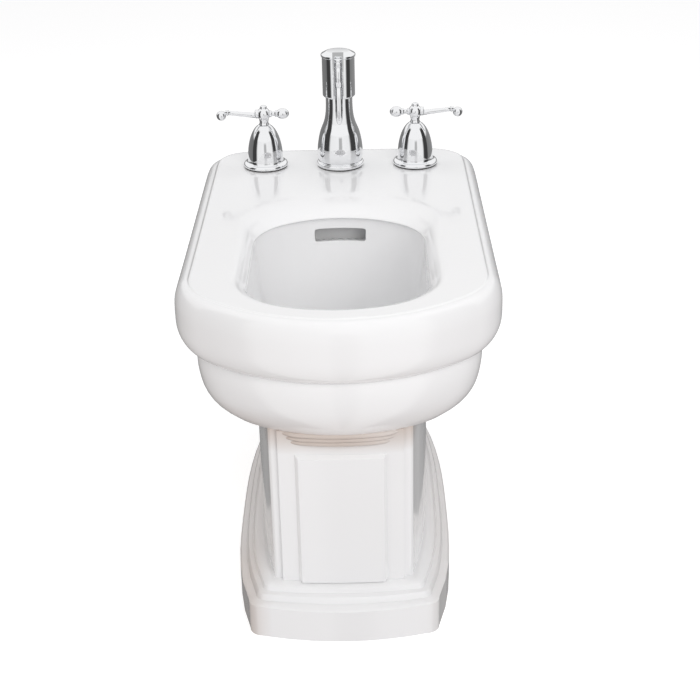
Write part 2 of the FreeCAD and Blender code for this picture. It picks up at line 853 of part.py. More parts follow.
def lever(side):
    """Tapered bar that rises outwards from the hub's collar to a ball hung under its end."""
    turn = math.radians(lever_rise)
    along = vector(-math.sin(turn), 0, math.cos(turn))
    start = vector(lever_root_drop, 0, 0)
    bar_length = lever_reach - lever_ball_radius / 2
    bar = Part.makeCone(lever_root_radius, lever_tip_radius, bar_length, start, along)
    ball = Part.makeSphere(lever_ball_radius, vector(lever_ball_drop, 0, lever_reach))
    collar_end = start + along * (lever_reach - lever_ball_radius)
    collar = rod(lever_ball_collar_radius, collar_end - along * lever_collar_width, collar_end)
    root = upright(lever_collar_radius, 0, hub_radius + lever_collar_width)
    shape = union([bar, ball, collar, root]).cut(Part.makeSphere(hub_radius, vector(0, 0, 0)))
    outward = FreeCAD.Rotation(vector(0, 0, 1), vector(1, 0, 0))
    facing = FreeCAD.Rotation(vector(0, 0, 1), 0 if side > 0 else 180)
    shape.Placement = FreeCAD.Placement(vector(0, 0, hub_centre), facing.multiply(outward))
    return shape


def finial(side):
    """Oval knob on a short neck, on the side of the hub away from the lever."""
    half = finial_length / 2
    oval = []
    for step in range(finial_steps + 1):
        turn = math.pi * step / finial_steps
        oval.append((finial_radius * math.sin(turn), finial_reach - half - half * math.cos(turn)))
    knob = turned(oval)
    neck = upright(finial_neck_radius, 0, finial_reach - half)
    collar_low = finial_reach - finial_length - finial_collar_width
    collar = upright(finial_collar_radius, collar_low, collar_low + finial_collar_width)
    shape = union([knob, neck, collar]).cut(Part.makeSphere(hub_radius, vector(0, 0, 0)))
    shape.Placement = FreeCAD.Placement(vector(0, 0, hub_centre),
                                        FreeCAD.Rotation(vector(0, 0, 1), vector(-side, 0, 0)))
    return shape


def china():
    export("china_rim", china_rim())
    export("china_basin_wall", basin_wall())
    export("china_basin_dish", basin_dish())
    export("china_overflow", overflow_duct())
    export("china_bowl", china_bowl())
    export("china_pedestal", china_pedestal())


def side_valve(name, side):
    x, y, top = side * valve_x, tap_row_y, deck_height
    export(name + "_escutcheon", placed(escutcheon(), x, y, top))
    export(name + "_handle_hub", placed(hub_with_bores(), x, y, top))
    export(name + "_lever", placed(lever(side), x, y, top))
    export(name + "_finial", placed(finial(side), x, y, top))
    screw_start = vector(x, y + stem_radius + thread_gap, top + hub_centre)
    screw_end = screw_start + vector(0, hub_radius - stem_radius - moving_gap, 0)
    export(name + "_set_screw", rod(set_screw_radius, screw_start, screw_end))
    export(name + "_stem", upright(stem_radius, top + stem_bottom, top + stem_top, x, y))
    export(name + "_cartridge", placed(cartridge(), x, y, top))
    export(name + "_valve_body", placed(valve_body(side), x, y, top))
    tube_start = vector(side * (manifold_reach - port_depth + thread_gap), y, feed_z)
    tube_end = vector(side * (valve_x - port_reach + port_depth - thread_gap), y, feed_z)
    export(name + "_feed_tube", tube(tube_radius, tube_bore_radius, tube_start, tube_end))


def valve_fixings():
    """At each valve a gasket under the escutcheon, and a washer and a locknut under the deck."""
    outer = escutcheon_radius - gasket_thickness
    inner = deck_hole_radius + gasket_thickness
    bore = shank_radius + thread_gap
    low = deck_underside - deck_washer_thickness
    export("escutcheon_gaskets", Part.makeCompound([
        ring(outer, inner, deck_height, deck_height + gasket_thickness, side * valve_x, tap_row_y)
        for side in (-1, 1)]))
    export("deck_washers", Part.makeCompound([
        ring(deck_washer_radius, bore, low, deck_underside, side * valve_x, tap_row_y)
        for side in (-1, 1)]))
    export("valve_locknuts", Part.makeCompound([
        nut(locknut_flats, bore, low - locknut_height, low, side * valve_x, tap_row_y)
        for side in (-1, 1)]))


def compression_nut(start, end):
    bore = tube_radius + thread_gap
    return hexagon(nut_flats, start, end).cut(rod(bore, start, end))


def compression_nuts():
    """One nut on each tube end, against the port that it closes."""
    nuts = []
    for side in (-1, 1):
        outer = vector(side * (valve_x - port_reach), tap_row_y, feed_z)
        inner = vector(side * manifold_reach, tap_row_y, feed_z)
        reach = vector(side * nut_length, 0, 0)
        nuts.append(compression_nut(outer, outer - reach))
        nuts.append(compression_nut(inner, inner + reach))
    below = vector(0, tap_row_y, feed_z - manifold_height / 2 - port_depth)
    nuts.append(compression_nut(below, below - vector(0, 0, nut_length)))
    elbow_end = vector(elbow_reach, spray_y, elbow_z)
    nuts.append(compression_nut(elbow_end, elbow_end + vector(nut_length, 0, 0)))
    return Part.makeCompound(nuts)


def tower_body():
    outside = turned([(tower_flange_radius, gasket_thickness), (tower_flange_radius, tower_flange_height)],
                     [(tower_belly_radius * share, tower_neck_top * up) for share, up in tower_shares])
    seat_low = tower_neck_top - tower_seat_depth
    cutters = [
        upright(tower_passage_radius, 0, tower_neck_top),
        upright(tower_shank_radius + thread_gap, 0, tower_socket_height),
        upright(tower_seat_radius, seat_low, tower_neck_top + overrun),
        upright(knob_radius + shaft_gap, knob_bottom - moving_gap, tower_neck_top + overrun, 0, -knob_offset),
        upright(lift_rod_radius + moving_gap, 0, knob_bottom, 0, -knob_offset),
    ]
    return without(outside, cutters)


def front_groove(low, high, reach):
    back = groove_depth - hood_radius
    return box(-groove_half_width, groove_half_width, -reach - overrun, back, low, high)


def tower_hood():
    low = tower_neck_top
    outside = turned([(hood_radius - hood_foot_chamfer, low), (hood_radius, low + hood_foot_chamfer)],
                     [(hood_radius, low + hood_foot_chamfer), (hood_radius, hood_top)])
    chamber_top = low + hood_chamber_height
    stem_room_top = low + poppet_stem_length + poppet_travel + moving_gap
    cutters = [
        upright(hood_chamber_radius, low - overrun, chamber_top),
        upright(poppet_stem_radius + shaft_gap, chamber_top, stem_room_top),
        front_groove(low - overrun, hood_top + overrun, hood_radius),
    ]
    for turn in hood_vent_turns:
        angle = math.radians(turn)
        out = vector(math.cos(angle), math.sin(angle), 0)
        height = vector(0, 0, low + hood_chamber_height / 2)
        cutters.append(rod(hood_vent_radius, height, height + out * (hood_radius + overrun)))
    return without(outside, cutters)


def tower_cap():
    edge = hood_top + cap_edge_height
    outside = turned([(cap_radius, hood_top), (cap_radius, edge)],
                     [(cap_radius, edge), (cap_top_radius, hood_top + cap_height)])
    return outside.cut(front_groove(hood_top - overrun, hood_top + cap_height + overrun, cap_radius))


def manifold():
    half = manifold_height / 2
    centre = vector(0, 0, -feed_drop)
    block = rod(manifold_radius, centre - vector(0, 0, half), centre + vector(0, 0, half))
    reach = vector(manifold_reach, 0, 0)
    low_end = centre - vector(0, 0, half + port_depth)
    depth = vector(port_depth, 0, 0)
    ports = [rod(port_radius, centre - reach, centre + reach), rod(port_radius, centre, low_end)]
    cutters = [
        rod(tube_bore_radius, centre - reach, centre + reach),
        rod(tube_radius + thread_gap, centre - reach, centre - reach + depth),
        rod(tube_radius + thread_gap, centre + reach - depth, centre + reach),
        rod(tube_bore_radius, centre, low_end),
        rod(tube_radius + thread_gap, low_end, low_end + vector(0, 0, port_depth)),
        rod(tower_shank_radius + thread_gap, centre + vector(0, 0, port_radius),
            centre + vector(0, 0, half + overrun)),
        rod(tower_shank_bore_radius, centre, centre + vector(0, 0, half)),
    ]
    return without(union([block] + ports), cutters)


def breaker_poppet():
    low = tower_neck_top - tower_seat_depth + seat_ring_height + seat_gap
    disc = upright(poppet_radius, low, low + poppet_thickness)
    return disc.fuse(upright(poppet_stem_radius, low, low + poppet_stem_length))


def tower():
    y, top, under = tap_row_y, deck_height, deck_underside
    export("tower_gasket", ring(tower_flange_radius - gasket_thickness, tower_hole_radius + gasket_thickness,
                                top, top + gasket_thickness, 0, y))
    export("tower_body", placed(tower_body(), 0, y, top))
    export("tower_hood", placed(tower_hood(), 0, y, top))
    export("tower_cap", placed(tower_cap(), 0, y, top))
    export("tower_shank", ring(tower_shank_radius, tower_shank_bore_radius, feed_z + port_radius + thread_gap,
                               top + tower_socket_height, 0, y))
    plate_low = under - clamp_plate_thickness
    bore = tower_shank_radius + thread_gap
    rod_hole = upright(lift_rod_radius + moving_gap, plate_low - overrun, under + overrun, 0, knob_y)
    export("tower_clamp_plate", ring(clamp_plate_radius, bore, plate_low, under, 0, y).cut(rod_hole))
    export("tower_locknut", nut(tower_nut_flats, bore, plate_low - tower_nut_height, plate_low, 0, y))
    export("tower_manifold", placed(manifold(), 0, y, top))
    seat_low = top + tower_neck_top - tower_seat_depth
    export("breaker_seat", ring(tower_seat_radius - thread_gap, seat_ring_bore_radius, seat_low,
                                seat_low + seat_ring_height, 0, y))
    export("breaker_poppet", placed(breaker_poppet(), 0, y, top))


def lift_knob():
    rounding = knob_radius / 3
    shape = turned([(knob_radius, knob_bottom), (knob_radius, knob_top - rounding)],
                   [(knob_radius, knob_top - rounding), (knob_radius - rounding, knob_top)])
    rod_top = knob_bottom + lift_rod_length_in_knob
    cutters = [upright(lift_rod_radius + thread_gap, knob_bottom - overrun, rod_top)]
    for height in knob_ring_heights:
        cutters.append(tube(knob_radius + overrun, knob_radius - knob_ring_depth,
                            vector(0, 0, height), vector(0, 0, height + knob_ring_width)))
    return without(shape, cutters)


def clevis_strap():
    """Block clamped on the lift rod, and a flat strap that reaches forward and down to the pivot rod."""
    block_z = deck_height - lift_rod_bottom_drop + strap_block_lift
    block_top = block_z + strap_block_height
    block_front = knob_y - strap_block_half
    eye_z = pivot_z - pivot_outer_arm * math.tan(pivot_turn / 2)
    tab_low = eye_z - strap_block_half
    tab_high = tab_low + strap_tab_length
    tab_y0, tab_y1 = strap_y - strap_thickness / 2, strap_y + strap_thickness / 2
    half = strap_width / 2
    block = box(-half, half, block_front, knob_y + strap_block_half, block_z, block_top)
    points = [(tab_y0, tab_low), (tab_y1, tab_low), (tab_y1, tab_high - strap_thickness),
              (block_front, block_z), (block_front, block_z + 2 * strap_thickness), (tab_y0, tab_high)]
    wire = Part.makePolygon([vector(-half, y, z) for y, z in points + points[:1]])
    bar = Part.Face(wire).extrude(vector(strap_width, 0, 0))
    eye = rod(strap_eye_radius, vector(0, tab_y0 - overrun, eye_z), vector(0, tab_y1 + overrun, eye_z))
    middle = block_z + strap_block_height / 2
    rod_bore = upright(lift_rod_radius + thread_gap, block_z - overrun, block_top + overrun, 0, knob_y)
    screw_bore = rod(strap_screw_radius + thread_gap, vector(0, knob_y, middle),
                     vector(half + overrun, knob_y, middle))
    return without(block.fuse(bar), [eye, rod_bore, screw_bore])


def strap_screw():
    middle = deck_height - lift_rod_bottom_drop + strap_block_lift + strap_block_height / 2
    start = vector(lift_rod_radius + thread_gap, knob_y, middle)
    face = vector(strap_width / 2, knob_y, middle)
    shank = rod(strap_screw_radius, start, face)
    return shank.fuse(rod(strap_screw_head_radius, face, face + vector(strap_screw_head_length, 0, 0)))


def lift_linkage():
    export("lift_knob", placed(lift_knob(), 0, knob_y, deck_height))
    rod_low = deck_height - lift_rod_bottom_drop
    rod_top = deck_height + knob_bottom + lift_rod_length_in_knob - thread_gap
    export("lift_rod", upright(lift_rod_radius, rod_low, rod_top, 0, knob_y))
    export("clevis_strap", clevis_strap())
    export("strap_screw", strap_screw())


def pivot_rod():
    """Rod through a ball: its inner end lifts the stopper, its outer end hangs in the strap's eye."""
    centre = vector(drain_y, pivot_y, pivot_z)
    along = vector(0, math.cos(pivot_turn / 2), -math.sin(pivot_turn / 2))
    inner_end = centre - along * (pivot_arm + pivot_rod_tip)
    outer_end = centre + along * (pivot_outer_arm + pivot_rod_tail)
    return rod(pivot_rod_radius, inner_end, outer_end).fuse(Part.makeSphere(pivot_ball_radius, centre))


def drain_body():
    port_low = boss_bottom + channel_low_height
    shape = upright(drain_body_radius, drain_body_bottom, drain_body_top, 0, drain_y)
    boss = rod(pivot_boss_radius, vector(0, drain_y, pivot_z), vector(0, drain_y + pivot_boss_reach, pivot_z))
    cutters = [
        upright(drain_body_bore_radius, drain_body_bottom - overrun, drain_body_top + overrun, 0, drain_y),
        upright(flange_tube_radius + thread_gap, drain_body_top - flange_tube_length,
                drain_body_top + overrun, 0, drain_y),
        rod(pivot_ball_radius + seat_gap, vector(0, pivot_y - pivot_ball_radius - seat_gap, pivot_z),
            vector(0, drain_y + pivot_boss_reach + overrun, pivot_z)),
        rod(pivot_window_radius, vector(0, drain_y, pivot_z), vector(0, pivot_y, pivot_z)),
        box(-overflow_port_half, overflow_port_half, drain_y, drain_y + drain_bore_radius, port_low,
            port_low + channel_low_height - flange_lip_height),
    ]
    return without(shape.fuse(boss), cutters)


def drain_flange():
    low = basin_floor + flange_seal_thickness
    tube_low = drain_body_top - flange_tube_length + thread_gap
    edge = low + flange_lip_height / 3
    high = low + flange_lip_height
    shape = turned([(flange_tube_radius, tube_low), (flange_tube_radius, low)],
                   [(flange_radius, low), (flange_radius, edge)],
                   [(flange_radius, edge), (flange_radius - flange_lip_height, high)])
    bore = upright(flange_bore_radius, tube_low - overrun, high + overrun)
    return placed(shape.cut(bore), 0, drain_y)


def stopper():
    """Crowned plug on a stem, with a guide and a blade whose eye holds the pivot rod's end."""
    seat = basin_floor + flange_seal_thickness + flange_lip_height + seat_gap + stopper_travel
    crown_low = seat + stopper_edge_height
    crown = [(stopper_radius * out, crown_low + stopper_crown_height * up)
             for out, up in stopper_crown_shares]
    cap = turned([(stopper_radius, seat), (stopper_radius, crown_low)], crown)
    collar_low = seat - 2 * stopper_seal_height
    collar = upright(stopper_guide_radius, collar_low, seat)
    flange_lip = upright(stopper_seal_radius - shaft_gap, collar_low - stopper_edge_height, collar_low)
    eye_z = pivot_z + pivot_arm * math.tan(pivot_turn / 2)
    blade_low = eye_z - stopper_blade_tail
    stem = upright(stopper_stem_radius, eye_z + stopper_blade_tail, collar_low)
    thick = stopper_blade_thickness / 2
    blade_half, blade_high = stopper_blade_half, eye_z + 2 * stopper_blade_tail
    blade = box(-blade_half, blade_half, -thick, thick, blade_low, blade_high)
    eye = rod(strap_eye_radius, vector(0, -thick - overrun, eye_z), vector(0, thick + overrun, eye_z))
    guide_z = pivot_z + pivot_drop / 2
    guide_top, reach = guide_z + stopper_guide_height, stopper_guide_radius
    fins = [box(-reach, reach, -thick, thick, guide_z, guide_top),
            box(-thick, thick, -reach, reach, guide_z, guide_top)]
    shape = union([cap, collar, flange_lip, stem, blade] + fins).cut(eye)
    return placed(shape, 0, drain_y)


def pivot_nut():
    start = drain_y + pivot_boss_reach - pivot_nut_overlap
    end = drain_y + pivot_nut_reach
    solid = hexagon(pivot_nut_flats, vector(0, start, pivot_z), vector(0, end, pivot_z))
    thread = rod(pivot_boss_radius + thread_gap, vector(0, start - overrun, pivot_z),
                 vector(0, end - pivot_nut_wall, pivot_z))
    window = rod(pivot_window_radius, vector(0, start, pivot_z), vector(0, end + overrun, pivot_z))
    return without(solid, [thread, window])


def tailpiece():
    """Outlet tube with a collar and a flange at its top, held to the drain body by the nut."""
    top = drain_body_bottom
    flange_low = top - tailpiece_flange_thickness
    collar_low = flange_low - tailpiece_nut_base
    low = vector(0, drain_y, top - tailpiece_reach)
    shape = union([rod(tailpiece_radius, low, vector(0, drain_y, top)),
                   upright(tailpiece_collar_radius, collar_low, top, 0, drain_y),
                   upright(tailpiece_flange_radius, flange_low, top, 0, drain_y)])
    return shape.cut(rod(tailpiece_radius - tailpiece_wall, low - vector(0, 0, overrun),
                         vector(0, drain_y, top + overrun)))


def tailpiece_nut():
    flange_low = drain_body_bottom - tailpiece_flange_thickness
    high = drain_body_bottom + tailpiece_nut_lap
    solid = nut(tailpiece_nut_flats, tailpiece_collar_radius + thread_gap, flange_low - tailpiece_nut_base,
                high, 0, drain_y)
    return solid.cut(upright(drain_body_radius + thread_gap, flange_low, high + overrun, 0, drain_y))


def waste():
    x, y = 0, drain_y
    seal_outer = flange_radius - flange_seal_thickness
    seal_top = basin_floor + flange_seal_thickness
    export("drain_flange_seal", ring(seal_outer, drain_bore_radius, basin_floor, seal_top, x, y))
    export("drain_flange", drain_flange())
    export("drain_stopper", stopper())
    seat = seal_top + flange_lip_height + seat_gap + stopper_travel
    ring_low = seat - 2 * stopper_seal_height
    export("stopper_seal", ring(stopper_seal_radius, stopper_guide_radius, ring_low,
                                ring_low + stopper_seal_height, x, y))
    export("drain_body", drain_body())
    bore = drain_body_radius + thread_gap
    gasket_low = boss_bottom - drain_gasket_thickness
    washer_low = gasket_low - drain_washer_thickness
    export("drain_gasket", ring(drain_gasket_radius, bore, gasket_low, boss_bottom, x, y))
    export("drain_washer", ring(drain_gasket_radius, bore, washer_low, gasket_low, x, y))
    export("drain_locknut", nut(drain_nut_flats, bore, washer_low - drain_nut_height, washer_low, x, y))
    export("pivot_rod", pivot_rod())
    export("pivot_nut", pivot_nut())
    export("tailpiece", tailpiece())
    export("tailpiece_nut", tailpiece_nut())


def spray_head():
    low = basin_floor + gasket_thickness
    edge = low + gasket_thickness
    dome = [(spray_head_radius * out, edge + (low + spray_head_height - edge) * up)
            for out, up in spray_head_shares]
    shape = turned([(spray_head_radius, low), (spray_head_radius, edge)], dome)
    cutters = [upright(spray_body_radius + thread_gap, low - overrun, spray_body_top)]
    for index in range(spray_jet_count):
        turn = math.radians(360.0 * index / spray_jet_count)
        place = vector(spray_jet_ring_radius * math.cos(turn), spray_jet_ring_radius * math.sin(turn), low)
        cutters.append(rod(spray_jet_radius, place, place + vector(0, 0, spray_head_height + overrun)))
    return placed(without(shape, cutters), 0, spray_y)


def spray_elbow():
    centre = vector(0, spray_y, elbow_z)
    half = vector(0, 0, elbow_height / 2)
    end = centre + vector(elbow_reach, 0, 0)
    shape = rod(elbow_radius, centre - half, centre + half).fuse(rod(port_radius, centre, end))
    cutters = [
        rod(spray_body_radius + thread_gap, centre + vector(0, 0, port_radius),
            centre + half + vector(0, 0, overrun)),
        rod(tube_bore_radius, centre, centre + half),
        rod(tube_bore_radius, centre, end),
        rod(tube_radius + thread_gap, end - vector(port_depth, 0, 0), end),
    ]
    return without(shape, cutters)


def bent_tube(points, bend_radius):
    """A copper tube along straight runs joined by tangent arcs."""
    edges = []
    here = points[0]
    for before, corner, after in zip(points, points[1:], points[2:]):
        into = (corner - before).normalize()
        out = (after - corner).normalize()
        half_turn = into.getAngle(out) / 2
        setback = bend_radius * math.tan(half_turn)
        start, end = corner - into * setback, corner + out * setback
        bisector = (out - into).normalize()
        middle = corner + bisector * (bend_radius / math.cos(half_turn) - bend_radius)
        edges += [line(here, start), arc(start, middle, end)]
        here = end
    edges.append(line(here, points[-1]))
    path = Part.Wire(edges)
    along = (points[1] - points[0]).normalize()
    solids = []
    for radius in (tube_radius, tube_bore_radius):
        circle = Part.Wire(Part.makeCircle(radius, points[0], along))
        solids.append(path.makePipeShell([circle], True, True))
    return solids[0].cut(solids[1])


def spray():
    x, y = 0, spray_y
    bore = spray_body_radius + thread_gap
    export("spray_head", spray_head())
    pad = spray_boss_radius - gasket_thickness
    export("spray_gaskets", Part.makeCompound([
        ring(spray_head_radius - gasket_thickness, bore, basin_floor, basin_floor + gasket_thickness, x, y),
        ring(pad, bore, spray_boss_bottom - gasket_thickness, spray_boss_bottom, x, y)]))
    body_low = elbow_z + port_radius + thread_gap
    export("spray_body", ring(spray_body_radius, tube_radius, body_low, spray_body_top - thread_gap, x, y))
    nut_high = spray_boss_bottom - gasket_thickness
    export("spray_locknut", nut(spray_nut_flats, bore, nut_high - spray_nut_height, nut_high, x, y))
    export("spray_elbow", spray_elbow())
    tube_top = feed_z - manifold_height / 2 - thread_gap
    turn_z = deck_height - spray_tube_turn_drop
    route = [vector(0, tap_row_y, tube_top), vector(0, tap_row_y, turn_z),
             vector(spray_tube_side, tap_row_y, turn_z), vector(spray_tube_side, tap_row_y, elbow_z),
             vector(spray_tube_side, spray_y, elbow_z),
             vector(elbow_reach - port_depth + thread_gap, spray_y, elbow_z)]
    export("spray_tube", bent_tube(route, spray_tube_bend_radius))


def export(name, shape):
    shape.exportStep("parts/" + name + ".step")
    print(name, len(shape.Solids), round(shape.Volume), shape.isValid())


china()
side_valve("hot", -1)
side_valve("cold", 1)
valve_fixings()
tower()
lift_linkage()
waste()
spray()
export("compression_nuts", compression_nuts())
print("stopper travel", round(stopper_travel, 2), "pivot turn", round(math.degrees(pivot_turn), 2))
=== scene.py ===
import json
from math import acos, asin, atan2, cos, pi, radians, sin, sqrt

import bmesh
import bpy
from mathutils import Matrix, Vector


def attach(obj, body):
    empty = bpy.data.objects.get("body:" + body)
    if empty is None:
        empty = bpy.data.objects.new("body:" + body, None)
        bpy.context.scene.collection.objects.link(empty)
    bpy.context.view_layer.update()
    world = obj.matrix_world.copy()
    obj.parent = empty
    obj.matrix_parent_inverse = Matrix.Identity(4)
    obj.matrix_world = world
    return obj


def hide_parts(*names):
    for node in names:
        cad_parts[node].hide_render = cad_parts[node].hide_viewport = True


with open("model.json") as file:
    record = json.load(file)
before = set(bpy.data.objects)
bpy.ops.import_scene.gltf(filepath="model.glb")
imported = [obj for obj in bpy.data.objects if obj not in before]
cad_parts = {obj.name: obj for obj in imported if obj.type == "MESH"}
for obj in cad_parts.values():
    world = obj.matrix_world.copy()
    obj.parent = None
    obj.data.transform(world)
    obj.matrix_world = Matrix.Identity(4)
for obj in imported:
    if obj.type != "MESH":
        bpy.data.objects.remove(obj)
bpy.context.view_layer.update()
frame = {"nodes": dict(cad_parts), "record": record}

mm = 0.001
mergeGap = 0.02      # points nearer than this are one
deckTop = 410.0      # height of the china's flat top above the floor
tapRow = 217.0       # the taps' row, behind the middle
tapReach = 101.6     # each side valve from the middle
print("frame loaded with", len(frame["nodes"]), "nodes")


# finishes
def addNode(tree, kind, **settings):
    node = tree.nodes.new(kind)
    for name, value in settings.items():
        setattr(node, name, value)
    return node


def setInputs(node, values):
    for label, value in values.items():
        node.inputs[label].default_value = value
    return node


def link(tree, *pairs):
    for source, target in pairs:
        tree.links.new(source, target)


# a Math node fed with sockets or plain numbers
def mathOf(tree, operation, *values, **settings):
    node = addNode(tree, "ShaderNodeMath", operation=operation, **settings)
    for socket, value in zip(node.inputs, values):
        if isinstance(value, bpy.types.NodeSocket):
            link(tree, (value, socket))
        else:
            socket.default_value = value
    return node.outputs[0]


def newGroup(name, inputs, outputs):
    group = bpy.data.node_groups.new(name, "ShaderNodeTree")
    for label, kind, value in inputs:
        socket = group.interface.new_socket(name=label, in_out="INPUT", socket_type=kind)
        socket.default_value = value
    for label, kind in outputs:
        group.interface.new_socket(name=label, in_out="OUTPUT", socket_type=kind)
    return group, addNode(group, "NodeGroupInput").outputs, addNode(group, "NodeGroupOutput").inputs


# noise on Object coordinates, its scale read from a socket
def objectNoise(tree, scale, values):
    place = addNode(tree, "ShaderNodeTexCoord")
    noise = setInputs(addNode(tree, "ShaderNodeTexNoise"), values)
    link(tree, (place.outputs["Object"], noise.inputs["Vector"]), (scale, noise.inputs["Scale"]))
    return noise.outputs["Fac"]


# slow undulation and fine orange peel together, as a height
ripple, rippleIn, rippleOut = newGroup(
    "surfaceRipple",
    [("Wave Scale", "NodeSocketFloat", 12.0), ("Peel Scale", "NodeSocketFloat", 220.0),
     ("Peel Share", "NodeSocketFloat", 0.15)],
    [("Height", "NodeSocketFloat")])
wave = objectNoise(ripple, rippleIn["Wave Scale"], {"Detail": 2.0})
peel = objectNoise(ripple, rippleIn["Peel Scale"], {"Detail": 1.0})
link(ripple, (mathOf(ripple, "MULTIPLY_ADD", peel, rippleIn["Peel Share"], wave), rippleOut["Height"]))

# wiped and handled patches, as a roughness between two values
handling, handlingIn, handlingOut = newGroup(
    "handlingMarks",
    [("Scale", "NodeSocketFloat", 9.0), ("Clean", "NodeSocketFloat", 0.08),
     ("Marked", "NodeSocketFloat", 0.16)],
    [("Roughness", "NodeSocketFloat")])
patches = objectNoise(handling, handlingIn["Scale"], {"Detail": 5.0, "Roughness": 0.62})
spread = setInputs(addNode(handling, "ShaderNodeMapRange"), {"From Min": 0.42, "From Max": 0.7})
link(handling, (patches, spread.inputs["Value"]), (handlingIn["Clean"], spread.inputs["To Min"]),
     (handlingIn["Marked"], spread.inputs["To Max"]), (spread.outputs["Result"], handlingOut["Roughness"]))

# two close tones drifting into each other
drift, driftIn, driftOut = newGroup(
    "toneDrift",
    [("Tone", "NodeSocketColor", (0.9, 0.9, 0.9, 1)), ("Second Tone", "NodeSocketColor", (0.8, 0.8, 0.8, 1)),
     ("Scale", "NodeSocketFloat", 4.0)],
    [("Color", "NodeSocketColor")])
clouds = objectNoise(drift, driftIn["Scale"], {"Detail": 3.0})
blend = addNode(drift, "ShaderNodeMix", data_type="RGBA")
link(drift, (clouds, blend.inputs["Factor"]), (driftIn["Tone"], blend.inputs["A"]),
     (driftIn["Second Tone"], blend.inputs["B"]), (blend.outputs["Result"], driftOut["Color"]))


def useGroup(tree, group, values):
    return setInputs(addNode(tree, "ShaderNodeGroup", node_tree=group), values).outputs[0]


# a material from the three shared effects. tones: two colours and a scale; marks: scale, clean and marked
# roughness; waves: wave scale, peel scale, peel share, bump strength, bump distance
def finishOf(name, tones, marks, waves, shader):
    material = bpy.data.materials.new(name)
    material.use_nodes = True
    tree = material.node_tree
    surface = setInputs(tree.nodes["Principled BSDF"], shader)
    tone = useGroup(tree, drift, {"Tone": (*tones[0], 1), "Second Tone": (*tones[1], 1), "Scale": tones[2]})
    mark = useGroup(tree, handling, {"Scale": marks[0], "Clean": marks[1], "Marked": marks[2]})
    relief = useGroup(tree, ripple, {"Wave Scale": waves[0], "Peel Scale": waves[1], "Peel Share": waves[2]})
    bump = setInputs(addNode(tree, "ShaderNodeBump"), {"Strength": waves[3], "Distance": waves[4]})
    link(tree, (tone, surface.inputs["Base Color"]), (mark, surface.inputs["Roughness"]),
         (relief, bump.inputs["Height"]), (bump.outputs["Normal"], surface.inputs["Normal"]))
    return material


finishes = {
    "glazed_china": finishOf(
        "glazedChina", ((0.885, 0.887, 0.895), (0.865, 0.866, 0.872), 5.0), (7.0, 0.07, 0.14),
        (9.0, 190.0, 0.10, 0.35, 0.0016), {"Coat Weight": 0.35, "Coat Roughness": 0.04}),
    "polished_chrome": finishOf(
        "polishedChrome", ((0.90, 0.905, 0.915), (0.85, 0.855, 0.87), 22.0), (30.0, 0.03, 0.09),
        (28.0, 420.0, 0.10, 0.10, 0.0006), {"Metallic": 1.0}),
    "plain_brass": finishOf(
        "plainBrass", ((0.63, 0.46, 0.19), (0.50, 0.36, 0.15), 35.0), (60.0, 0.22, 0.40),
        (40.0, 900.0, 0.4, 0.3, 0.0005), {"Metallic": 1.0}),
    "copper_tube": finishOf(
        "copperTube", ((0.62, 0.30, 0.17), (0.47, 0.22, 0.13), 25.0), (50.0, 0.20, 0.38),
        (60.0, 800.0, 0.3, 0.2, 0.0005), {"Metallic": 1.0}),
    "steel_plate": finishOf(
        "steelPlate", ((0.55, 0.56, 0.57), (0.45, 0.46, 0.46), 60.0), (70.0, 0.28, 0.48),
        (120.0, 900.0, 0.4, 0.3, 0.0004), {"Metallic": 1.0}),
    "seal_rubber": finishOf(
        "sealRubber", ((0.030, 0.030, 0.030), (0.050, 0.049, 0.047), 50.0), (80.0, 0.55, 0.75),
        (90.0, 1500.0, 0.6, 0.4, 0.0004), {"Specular IOR Level": 0.4}),
    "white_plastic": finishOf(
        "whitePlastic", ((0.78, 0.78, 0.75), (0.72, 0.72, 0.69), 40.0), (60.0, 0.32, 0.48),
        (80.0, 1200.0, 0.5, 0.3, 0.0004), {"Specular IOR Level": 0.5})}
# painted shade: a warm darkening of the glaze under the bowl and on the flanks, where a piece carries the
# attribute
tree = finishes["glazed_china"].node_tree
baseColor = tree.nodes["Principled BSDF"].inputs["Base Color"]
# how much painted shade each point of a piece carries
share = addNode(tree, "ShaderNodeAttribute", attribute_name="paintedShade")
shadeMultiply = setInputs(addNode(tree, "ShaderNodeMix", data_type="RGBA", blend_type="MULTIPLY"),
                 {"B": (0.60, 0.485, 0.41, 1)})
link(tree, (share.outputs["Fac"], shadeMultiply.inputs["Factor"]), (baseColor.links[0].from_socket, shadeMultiply.inputs["A"]),
     (shadeMultiply.outputs["Result"], baseColor))
for part in frame["record"]["subparts"]:
    for materialSlot in frame["nodes"][part["node"]].material_slots:
        materialSlot.material = finishes[part["material_slot"]]
print("finishes made")


# helpers for the pieces
def newMesh(name, bm):
    mesh = bpy.data.meshes.new(name)
    bm.to_mesh(mesh)
    bm.free()
    return mesh


def newObject(name, data):
    made = bpy.data.objects.new(name, data)
    bpy.context.scene.collection.objects.link(made)
    return made


def turnOutwards(bm):
    bmesh.ops.recalc_face_normals(bm, faces=bm.faces[:])


def addPiece(name, bm, slotName, body, replaced=()):
    bmesh.ops.remove_doubles(bm, verts=bm.verts[:], dist=mergeGap * mm)
    turnOutwards(bm)
    mesh = newMesh(name, bm)
    mesh.polygons.foreach_set("use_smooth", [True] * len(mesh.polygons))
    mesh.materials.append(finishes[slotName])
    piece = newObject(name, mesh)
    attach(piece, body)
    if replaced:
        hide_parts(*replaced)
    return piece


def addChina(name, bm, *replaced):
    return addPiece(name, bm, "glazed_china", "bidet", replaced)


# painted shade darkens the glaze warm where amount(x, y, z) is above 0
def markPaintedShade(piece, amount):
    marks = piece.data.attributes.new("paintedShade", "FLOAT", "POINT")
    for vert in piece.data.vertices:
        marks.data[vert.index].value = amount(*(vert.co / mm))


def ease(value, low, high):
    t = min(max((value - low) / (high - low), 0.0), 1.0)
    return t * t * (3 - 2 * t)


